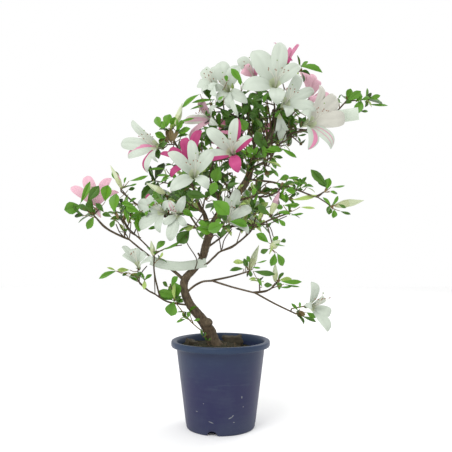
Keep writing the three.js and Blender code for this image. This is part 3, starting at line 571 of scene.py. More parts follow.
# %% Masses of foliage
mass_table = [
  dict(name="far_left_foliage", on="left_outer_bough", start=1,
    stem=[[-168, -25, 298], [-187, -35, 318]],
    tufts=[
      [-187, -35, 320, 40, 175, 150, 112, 82, 245, 15],
      [-158, -15, 321, 32, 118, 98, 78, 178, 235],
      [-137, -5, 317, 25, 80, 40, 120, 0],
    ],
    looks=["pale_rear"],
    blooms=[[-192, -38, 345, 35, -0.6, -0.1, 0.8]]),
  dict(name="left_lower_foliage", on="left_back_bough", start=1,
    stem=[[-143, 12, 300], [-154, 12, 320]],
    tufts=[
      [-154, 12, 322, 26, 150, 90, 45, 200],
      [-127, 12, 310, 26, 270, 80, 170, 30],
      [-150, 40, 322, 26, 120, 60, 200, 340],
    ]),
  dict(name="left_riser_foliage", on="low_left_bough", start=0.85,
    stem=[[-99, -23, 235], [-99, -22, 259]],
    tufts=[[-99, -22, 260, 30, 48, 22, 118, 200]],
    buds=[[[-100, -22, 258], [-104, -22, 281], 3.6]]),
  dict(name="low_left_foliage", on="low_left_bough", start=1,
    stem=[[-107, -30, 207], [-121, -39, 222]],
    tufts=[[-121, -39, 225, 38, 178, 163, 110, 205, 55, 340]],
    looks=["trumpet"],
    blooms=[[-126, -44, 254, 26, -0.35, -0.25, 0.9]]),
  dict(name="foot_shoot_foliage", on="trunk", start=131,
    stem=[[-43, -12, 157], [-61, -20, 180], [-68, -24, 190]],
    tufts=[
      [-68, -24, 191, 34, 160, 145, 78, 105, 255, 238, 12],
      [-52, -16, 167, 16, 190, 80, 10],
    ]),
  dict(name="low_right_foliage", on="low_right_bough", start=0.93,
    stem=[[17, 3, 226], [44, 18, 233]],
    tufts=[[44, 20, 235, 28, 178, 150, 118, 90, 30, 340, 275, 5]],
    buds=[[[45, 20, 236], [60, 22, 274], 5]]),
  dict(name="low_right_middle_foliage", on="low_right_outer_bough", start=0.95,
    stem=[[71, -35, 208], [83, -31, 218]],
    tufts=[
      [84, -30, 220, 32, 45, 25, 345, 330, 165, 318, 95],
      [58, -24, 219, 18, 150, 110, 350],
    ],
    buds=[[[81, -31, 220], [81, -30, 248], 3.8]]),
  dict(name="low_right_tip_foliage", on="low_right_outer_bough", start=1,
    stem=[[78, -55, 190], [107, -70, 177]],
    tufts=[[108, -70, 177, 27, 112, 80, 325, 345, 195]],
    looks=["low_star"],
    blooms=[[123, -77, 189, 41, 0.85, -0.45, 0.2]]),
  dict(name="lower_inner_foliage", on="lower_inner_bough", start=1,
    stem=[[73, -44, 311], [98, -42, 320]],
    tufts=[
      [100, -42, 322, 30, 120, 45, 5, 345, 60],
      [74, -40, 315, 27, 135, 220, 35, 325, 160],
      [75, -48, 277, 28, 150, 172, 55, 20, 215],
    ],
    buds=[
      [[74, -41, 319], [87, -40, 354], 4.6, "rose_tip"],
      [[73, -47, 270], [87, -50, 281], 5.5],
    ]),
  dict(name="right_low_foliage", on="right_low_bough", start=1,
    stem=[[46, -30, 296], [52, -35, 314]],
    tufts=[[51, -35, 317, 22, 115, 10, 340, 190]]),
  dict(name="centre_foliage", on="centre_bough", start=1,
    stem=[[-16, -20, 378], [-10, -28, 400]],
    tufts=[
      [-8, -24, 405, 28, 130, 60, 20, 210],
      [12, -6, 382, 26, 330, 80, 200, 20],
    ],
    looks=["great_white", "magenta_back", "magenta_half"],
    blooms=[
      [-35, -76, 376, 47, 0.1, -0.97, 0.2],
      [-50, -40, 404, 43, -0.35, -0.85, 0.35],
      [18, -62, 408, 45, -0.25, -0.95, 0.1],
    ]),
  dict(name="left_mid_foliage", on="left_mid_bough", start=1,
    stem=[[-122, -25, 333], [-148, -32, 354]],
    tufts=[
      [-148, -32, 356, 32, 125, 160, 25, 40, 5, 345, 60],
      [-79, -30, 344, 24, 200, 180, 340, 215],
    ],
    buds=[
      [[-146, -32, 358], [-163, -35, 392], 3.8, "rose_stripe"],
      [[-82, -30, 350], [-110, -35, 366], 4.6],
    ],
    looks=["tipped", "streaked"],
    blooms=[
      [-96, -34, 326, 33, -0.4, -0.85, 0.25],
      [-56, -48, 316, 34, -0.25, -0.9, -0.25],
    ]),
  dict(name="upper_left_foliage", on="upper_left_bough", start=1,
    stem=[[-64, 0, 418], [-76, -9, 445]],
    tufts=[
      [-76, -10, 448, 29, 105, 80, 138, 165, 195, 355, 25, 330],
      [-87, -12, 431, 24, 205, 250, 285],
      [-81, 0, 380, 30, 155, 172, 192, 208, 75],
    ],
    buds=[[[-69, -14, 456], [-58, -15, 490], 4.6]],
    looks=["striped_left"],
    blooms=[[-104, -22, 428, 41, -0.9, -0.4, 0.05]]),
  dict(name="front_foliage", on="front_bough", start=1,
    stem=[[-26, -30, 326], [-24, -30, 340]],
    tufts=[
      [-23, -30, 342, 38, 170, 60, 335, 110, 205],
      [-38, -32, 303, 36, 335, 20, 215, 190],
      [4, -32, 300, 32, 160, 5, 60, 285],
      [20, -28, 309, 28, 345, 50, 270],
      [-58, -22, 343, 22, 150, 110, 250],
    ],
    looks=["cup"],
    blooms=[[12, -58, 316, 38, 0.6, -0.55, 0.6]]),
  dict(name="right_tip_foliage", on="right_bough", start=1,
    stem=[[152, 40, 353], [167, 40, 360]],
    tufts=[
      [167, 40, 362, 32, 122, 138, 50, 18, 345, 322, 95],
      [177, 42, 337, 26, 120, 58, 258, 280, 320, 335],
      [126, 30, 368, 22, 110, 60, 20],
    ],
    buds=[[[183, 41, 337], [231, 45, 346], 6]]),
  dict(name="right_mid_foliage", on="inner_right_bough", start=1,
    stem=[[84, -38, 352], [90, -35, 360]],
    tufts=[
      [90, -35, 361, 30, 75, 30, 355, 140, 325],
      [104, -16, 345, 24, 5, 315, 220, 60],
      [48, -22, 356, 20, 130, 68, 0],
    ]),
  dict(name="top_foliage", on="right_leader", start=1,
    stem=[[84, 8, 484], [82, 2, 500]],
    tufts=[
      [64, 5, 497, 30, 70, 110, 200, 240, 300],
      [88, 15, 473, 30, 20, 250, 300, 340],
      [124, 10, 546, 34, 5, 22, 50, 345],
      [48, 25, 472, 28, 60, 120, 200, 260],
    ],
    looks=["crown", "crown_right", "rose_rear", "top_streaked", "rose_top"],
    blooms=[
      [81, -50, 512, 48, 0, -1, 0.22],
      [112, -40, 489, 37, 0.45, -0.85, 0.25],
      [150, 38, 524, 35, 0.5, 0.3, 0.8],
      [42, 16, 548, 38, -0.35, -0.5, 0.75],
      [108, 34, 562, 37, 0.45, 0.15, 0.7],
    ]),
  dict(name="far_right_foliage", on="upper_right_bough", start=1,
    stem=[[171, 12, 472], [186, 16, 488], [198, 20, 501]],
    tufts=[
      [199, 20, 503, 30, 42, 165, 145, 320, 75],
      [230, 25, 505, 29, 350, 5, 30, 100, 250],
    ],
    looks=["blush_right"],
    blooms=[[145, -34, 458, 46, 0.75, -0.6, -0.1]]),
  dict(name="top_left_foliage", on="left_leader", start=1,
    stem=[[36, 6, 464], [10, 2, 480], [-12, 0, 489]],
    tufts=[
      [-13, 0, 490, 36, 172, 200, 130, 50, 225, 90],
      [-9, 15, 451, 32, 230, 150, 20, 320, 200],
      [15, 20, 460, 30, 340, 60, 120, 290],
    ],
    looks=["top_white", "top_left_white", "lilac_left"],
    blooms=[
      [19, -24, 508, 38, -0.5, -0.8, -0.1],
      [-15, -12, 529, 34, -0.7, -0.3, 0.6],
      [-30, -2, 479, 34, -0.85, -0.3, -0.35],
    ]),
  dict(name="crown_right_foliage", on="crown_right_bough", start=1,
    stem=[[106, 18, 452], [110, 12, 456]],
    tufts=[
      [111, 10, 457, 32, 60, 85, 285, 250, 330],
      [124, 20, 435, 24, 340, 20, 200, 300],
      [100, 42, 464, 28, 100, 140, 60],
    ],
    looks=["hanging"],
    blooms=[[100, -9, 440, 30, 0.1, -0.4, -0.9]]),
  dict(name="inner_right_foliage", on="trunk", start=394,
    stem=[[54, -8, 395], [64, -19, 399]],
    tufts=[
      [65, -20, 401, 40, 100, 45, 5, 335, 60],
      [68, -30, 384, 30, 285, 300, 335, 215],
      [40, -14, 410, 24, 20, 160, 250],
    ]),
  dict(name="back_left_foliage", on="back_left_bough", start=1,
    stem=[[-66, 60, 352], [-70, 68, 372]],
    fill=dict(middle=[-76, 76, 368], spread=[52, 40, 46], tufts=5, leaf=36),
    looks=["plain"],
    blooms=[[-78, 92, 352, 38, -0.35, 0.85, 0.2]]),
  dict(name="back_middle_foliage", on="back_middle_bough", start=1,
    stem=[[-6, 68, 418], [2, 70, 438]],
    fill=dict(middle=[2, 76, 434], spread=[52, 40, 50], tufts=5, leaf=36),
    looks=["rose_back", "plain"],
    blooms=[
      [8, 98, 452, 40, 0.1, 0.95, 0.25],
      [-48, 90, 432, 36, -0.7, 0.6, 0.3],
    ]),
  dict(name="back_right_foliage", on="back_right_bough", start=1,
    stem=[[92, 68, 438], [94, 70, 456]],
    fill=dict(middle=[96, 76, 458], spread=[48, 38, 48], tufts=5, leaf=36),
    looks=["streaked_back"],
    blooms=[[98, 98, 474, 40, 0.2, 0.9, 0.3]]),
  dict(name="back_low_foliage", on="back_low_bough", start=1,
    stem=[[30, 58, 326], [36, 62, 340]],
    fill=dict(middle=[40, 66, 338], spread=[48, 36, 38], tufts=4, leaf=34),
    looks=["plain"],
    blooms=[[42, 90, 334, 36, 0.3, 0.9, 0.1]]),
]
print("masses in the table:", len(mass_table))

# %% [markdown]
# A look is read off the portrait, bloom by bloom. `throat` is the point where the petals part, with
# its depth, and each petal is the point that its tip reaches, its colouring and its breadth. `lift`
# is how far the petals stand forward, in degrees. The blooms behind have bearings and lengths.

# %% Looks of the blooms
bloom_looks = {
  "plain": dict(bearings=[
    (90, 1, "white"), (162, 1, "white"), (234, 0.95, "white"), (306, 0.95, "white"),
    (18, 1, "white")]),
  "rose_back": dict(bearings=[
    (80, 1, "rose"), (150, 0.95, "rose"), (225, 1, "lilac"), (300, 1, "rose"), (10, 1, "rose")]),
  "streaked_back": dict(stamens=5, bearings=[
    (95, 1, "blush"), (165, 0.95, "rose_pair"), (237, 0.95, "white"), (309, 0.9, "white"),
    (0, 1, "rose")]),
  "crown": dict(throat=(276, 82, -50), facing=[0, -1, 0.22], stamens=8, lift=12, petals=[
    (281, 42, "white", 1.05), (251, 52, "white", 1.3), (241, 88, "white", 1.05),
    (276, 105, "white", 1.15), (300, 66, "white", 0.95)]),
  "crown_right": dict(throat=(287, 101, -42), facing=[0.4, -0.88, 0.25], lift=14, petals=[
    (300, 74, "white", 1.0), (316, 88, "white", 0.9), (316, 110, "white", 0.9),
    (287, 117, "white", 1.0), (272, 98, "white", 0.8)]),
  "rose_rear": dict(throat=(313, 92, 30), facing=[0.2, -0.8, 0.55], lift=16, stamens=0, petals=[
    (299, 72, "shell", 1.0), (310, 74, "shell", 1.1), (319, 82, "shell", 0.9),
    (330, 100, "shell", 0.9), (311, 104, "shell", 0.9)]),
  "blush_right": dict(throat=(314, 121, -34), facing=[0.5, -0.8, 0.1], lift=16, petals=[
    (336, 97, "blush", 1.25), (346, 120, "blush", 1.15), (320, 85, "blush", 0.75),
    (301, 112, "white", 0.8), (331, 149, "rose_pair", 1.0), (308, 149, "rose_half", 0.9)]),
  "top_white": dict(throat=(226, 88, -24), facing=[-0.25, -0.95, 0.1], lift=14, petals=[
    (222, 61, "white", 1.35), (239, 65, "white", 1.15), (248, 103, "white", 1.0),
    (219, 103, "white", 1.2), (231, 109, "white", 0.9), (238, 118, "white", 0.4),
    (207, 88, "white", 0.9)]),
  "top_left_white": dict(throat=(213, 84, -12), facing=[-0.7, -0.6, 0.35], lift=20, petals=[
    (205, 68, "white", 1.2), (198, 86, "white", 1.2), (218, 66, "white", 1.0),
    (203, 94, "white", 0.8), (220, 98, "white", 0.9)]),
  "top_streaked": dict(throat=(252, 74, 10), facing=[-0.3, -0.9, 0.3], stamens=3, lift=14, petals=[
    (240, 58, "white", 1.25), (241, 73, "shell", 1.1), (246, 66, "shell", 0.7),
    (269, 55, "rose", 0.9), (256, 92, "white", 0.9)]),
  "rose_top": dict(throat=(284, 64, 30), facing=[0.2, -0.9, 0.4], stamens=0, lift=14, petals=[
    (300, 45, "rose", 0.35), (290, 48, "rose", 0.4), (292, 61, "pink", 0.4),
    (269, 57, "rose", 0.5), (273, 43, "rose", 0.2)]),
  "lilac_left": dict(throat=(207, 118, -2), facing=[-0.7, -0.7, 0.1], lift=16, petals=[
    (203, 98, "dusk", 0.9), (184, 122, "veined", 0.9), (190, 140, "lilac", 0.7),
    (218, 106, "white", 0.7), (217, 125, "white", 0.8)]),
  "striped_left": dict(throat=(153, 145, -24), facing=[-0.5, -0.86, 0.05], lift=16, petals=[
    (132, 120, "white", 0.6), (121, 143, "white", 0.95), (128, 158, "rose_edge", 0.95),
    (147, 173, "magenta_edge", 0.85), (158, 162, "white", 0.5)]),
  "great_white": dict(throat=(195, 173, -82), facing=[0.1, -0.97, 0.2], stamens=6, petals=[
    (192, 140, "white", 0.8), (167, 153, "white", 0.8), (171, 191, "white", 0.95),
    (208, 189, "white", 0.9), (214, 151, "white", 0.85)]),
  "magenta_back": dict(throat=(188, 160, -40), facing=[-0.3, -0.9, 0.3], stamens=0, petals=[
    (201, 130, "magenta", 0.8), (185, 138, "magenta", 0.8), (169, 150, "magenta", 0.8),
    (172, 178, "magenta", 0.8), (160, 154, "magenta", 0.4)]),
  "magenta_half": dict(throat=(232, 151, -62), facing=[-0.1, -0.98, 0.1], petals=[
    (237, 118, "magenta_edge", 0.9), (207, 128, "white", 0.95), (197, 159, "pink_under", 0.9),
    (238, 173, "pink", 0.95), (252, 137, "magenta_half", 0.9)]),
  "cup": dict(throat=(228, 217, -56), facing=[0.35, -0.85, 0.35], lift=20, petals=[
    (237, 189, "white", 0.85), (251, 208, "white", 0.9), (248, 234, "white", 0.7),
    (225, 197, "white", 0.6), (220, 210, "white", 0.5)]),
  "streaked": dict(throat=(177, 215, -48), facing=[-0.1, -0.95, -0.15], stamens=4, petals=[
    (185, 196, "white", 0.9), (170, 200, "rose_pair", 0.9), (169, 241, "white", 1.0),
    (187, 226, "white", 0.8), (163, 224, "white", 0.8)]),
  "tipped": dict(throat=(160, 211, -34), facing=[-0.4, -0.85, 0.1], petals=[
    (138, 203, "white", 1.25), (147, 194, "magenta_tip", 0.8), (140, 229, "white", 1.25),
    (159, 233, "white", 1.0), (172, 201, "white", 0.8)]),
  "trumpet": dict(throat=(137, 261, -44), facing=[-0.12, -0.6, 0.79], lift=30, stamens=3, petals=[
    (121, 245, "white", 0.8), (122, 256, "white", 1.1), (147, 255, "white", 1.4),
    (154, 264, "white", 1.2), (134, 249, "white", 1.5)]),
  "pale_rear": dict(throat=(95, 202, -16), facing=[-0.2, -0.88, 0.43], lift=16, stamens=3, petals=[
    (68, 185, "shell", 0.9), (86, 173, "shell", 1.0), (111, 178, "shell", 0.9),
    (119, 192, "shell", 0.7), (101, 218, "veined", 0.8)]),
  "low_star": dict(throat=(315, 306, -84), facing=[0.4, -0.9, 0.1], lift=24, petals=[
    (311, 282, "white", 1.0), (323, 296, "white", 0.7), (330, 315, "white", 0.85),
    (328, 331, "white", 0.8), (304, 305, "white", 0.8)]),
  "hanging": dict(throat=(280, 119, -14), facing=[0.1, -0.5, -0.85], lift=30, stamens=0, petals=[
    (282, 142, "white", 0.9), (288, 130, "white", 0.6), (276, 131, "white", 0.6)]),
}
print("looks in the table:", len(bloom_looks))

# %% [markdown]
# Each limb is a spine with a radius along it. The trunk's spine runs through its stations, and
# each bough starts at a point of its parent and runs through its own bends. They are kept here
# as coarse spines, because later limbs start from points that are measured along them.

# %% Spines of the trunk and boughs
trunk_rings = 24
trunk_tip_radius = 1.55
trunk_relief = [5.5, 4.6, 3.4, 2.8, 2.4, 2.2]
knob_relief = [2.2, 1.6]
bough_relief = [0.9, 0.5]
bough_slimness = 0.84
skin_step = 4
limbs = {}
skins = {"trunk": [], "bough": [], "twig": [], "shoot": [], "filament": []}
trunk_spine = smooth_curve([station["at"] for station in trunk_stations], trunk_rings)


def trunk_point_at(height):
    """The point of the trunk's spine at a height."""
    above = max(1, next(i for i, point in enumerate(trunk_spine) if point[2] >= height))
    low, high = trunk_spine[above - 1], trunk_spine[above]
    return low + (high - low) * (height - low[2]) / (high[2] - low[2])


def add_skin(kind, spine, radii, relief, seed=0.0):
    """A smooth limb along a coarse spine. The relief is the depth of its bark."""
    steps = max(4, int(spine_length(spine) / skin_step))
    path = smooth_curve(spine, steps)
    shares = np.linspace(0, 1, steps + 1)
    thick = np.interp(shares, np.linspace(0, 1, len(radii)), radii)
    depth = np.interp(shares, np.linspace(0, 1, len(relief)), relief)
    skins[kind].append((path, thick, depth, seed))


def add_bough(row):
    parent = limbs[row["on"]]
    start = parent["point_at"](row["start"])
    spine = smooth_curve([start, *row["bends"]], len(row["bends"]) * 2)
    point_at = lambda share: spine_place(spine, share * spine_length(spine))[0]
    limbs[row["name"]] = dict(spine=spine, point_at=point_at, tip=row["radii"][1])
    radii = [radius * bough_slimness for radius in row["radii"]]
    add_skin("bough", spine, radii, bough_relief, len(limbs))


limbs["trunk"] = dict(spine=trunk_spine, point_at=trunk_point_at, tip=trunk_tip_radius)
add_skin("trunk", np.array([station["at"] for station in trunk_stations], float),
         [station["radius"] for station in trunk_stations], trunk_relief)
add_skin("trunk", np.array([trunk_point_at(knob["height"]), knob["to"]], float),
         knob["radii"], knob_relief, 3.0)
for row in bough_table:
    add_bough(row)
print("limbs", len(limbs))

# %% [markdown]
# A mass grows from its stem. Its tips are its tufts of leaves, its buds and its blooms, nearest
# first, and each tip draws a twig from the place nearest to it, where a place that already points
# that way counts as nearer. The twig leaves along its parent's own direction and then bends.

# %% The branching rule
place_gap = 9
short_twig = 2
twig_segment = 34
twig_lead = 0.4
turn_cost = 0.6
golden_turn = 2.39996
degree = math.pi / 180
up = np.array([0.0, 0.0, 1.0])


def branching_places(spine):
    """Places along a spine from which twigs may spring, with the spine's direction there."""
    reach = spine_length(spine)
    count = max(2, int(reach / place_gap + 0.5))
    return [(*spine_place(spine, reach * (i + 1) / count), spine) for i in range(count)]


def nearest_place(tip, places):
    """The place from which a twig reaches its tip with the least length and turning."""
    costs = []
    for at, along, _ in places:
        reach = tip - at
        distance = np.linalg.norm(reach)
        lean = reach.dot(along) / distance if distance > 0.01 else 1
        costs.append(distance * (1 + turn_cost * (1 - lean)))
    return places[int(np.argmin(costs))]


def twig_spine(at, along, tip):
    """A bent line that leaves along its parent and ends at its tip."""
    distance = np.linalg.norm(tip - at)
    bend = at + along * distance * twig_lead
    count = max(1, int(distance / twig_segment + 0.5))
    shares = np.linspace(0, 1, count + 1)[:, None]
    return at * (1 - shares) ** 2 + bend * 2 * shares * (1 - shares) + tip * shares ** 2


print("golden turn", round(golden_turn / degree, 1), "degrees")

# %% [markdown]
# The tips of a mass are dealt here. In the masses behind, the tufts fall inside an ellipsoid, each
# turned on by the golden angle, which spreads them evenly without rows.

# %% Tips of a mass
back_leaf_sway = 60
bloom_depth = 0.62


def seeded_tufts(fill, random):
    """Tufts dealt inside an ellipsoid, with leaves on all sides."""
    grown = []
    for index in range(fill["tufts"]):
        height = 1 - 2 * (index + 0.5) / fill["tufts"]
        angle = index * golden_turn + random()
        ring = math.sqrt(1 - height * height)
        depth = mix(0.55, 1, random())
        bearings = [bearing + random() * back_leaf_sway for bearing in (0, 90, 180, 270)]
        direction = (ring * math.cos(angle), ring * math.sin(angle), height)
        place = [m + s * d * depth for m, s, d in zip(fill["middle"], fill["spread"], direction)]
        grown.append([*place, fill["leaf"], *bearings])
    return grown


def tips_of(row, start, random):
    """The tufts, buds and blooms of a mass, nearest to its start first."""
    tufts = row.get("tufts", []) + (seeded_tufts(row["fill"], random) if "fill" in row else [])
    tips = [dict(foot=np.array(tuft[:3], float), tuft=tuft) for tuft in tufts]
    for bud in row.get("buds", []):
        tips.append(dict(foot=np.array(bud[0], float), bud=bud))
    for bloom, look in zip(row.get("blooms", []), row.get("looks", [])):
        throat, facing = np.array(bloom[:3], float), unit(np.array(bloom[4:], float))
        foot = throat - facing * bloom[3] * bloom_depth
        random()  # the solids turn their bloom by this number; here its look says how it lies
        tips.append(dict(foot=foot, bloom=(foot, facing, bloom[3], look)))
    return sorted(tips, key=lambda tip: np.linalg.norm(tip["foot"] - start))


print("a bloom's foot lies", bloom_depth, "of its radius behind its throat")

# %% [markdown]
# A leaf is a row of numbers for now: where its stalk starts, which way it points, which way its
# upper face looks, how long and how broad it is, and how it curls, folds and bends sideways. The
# rows of one kind become one piece later on.

# %% A leaf as a row
leaf_limits = {"young": 0.23, "bright": 0.56, "deep": 0.9}
curl_range = (-0.5, 0.1)
fold_range = (0.1, 0.8)
sickle_range = (-0.14, 0.14)
leaf_rows = {kind: [] for kind in ("young", "bright", "deep", "old", "scale", "calyx")}


def add_leaf(kind, foot, forward, face, size, breadth, curl, fold, sickle=0.0):
    """Adds a leaf's row, with its upper face as near to `face` as its direction allows."""
    side = np.cross(forward, face)
    upward = unit(np.cross(side, forward))
    leaf_rows[kind].append((foot, unit(forward), upward, size, breadth, curl, fold, sickle))


def leaf_bends(finer):
    """How far a leaf curls back, folds along its midrib and bends sideways."""
    return mix(*curl_range, finer()), mix(*fold_range, finer()), mix(*sickle_range, finer())


def leaf_kind(share):
    """The kind that an even number from 0 to 1 deals to a leaf."""
    return next((kind for kind, limit in leaf_limits.items() if share < limit), "old")


def bearing_direction(bearing, sway):
    """A bearing in the front view, turned towards or away from the viewer by sway."""
    flat = math.cos(sway)
    return np.array([flat * math.cos(bearing), -math.sin(sway), flat * math.sin(bearing)])


def crosswise(axis):
    """Two directions at right angles to an axis and to each other."""
    side = unit(np.cross(axis, up if abs(axis[2]) < 0.9 else np.array([1.0, 0, 0])))
    return side, np.cross(axis, side)


print("kinds of leaf", list(leaf_rows))

# %% [markdown]
# Many leaves can be told apart in the portrait. They are picked one by one: across and down of the
# foot, across and down of the tip, and the breadth as a share of the length. Picks that lie at one
# depth and have one colour stand in one row. Where they are, the rule deals fewer leaves.

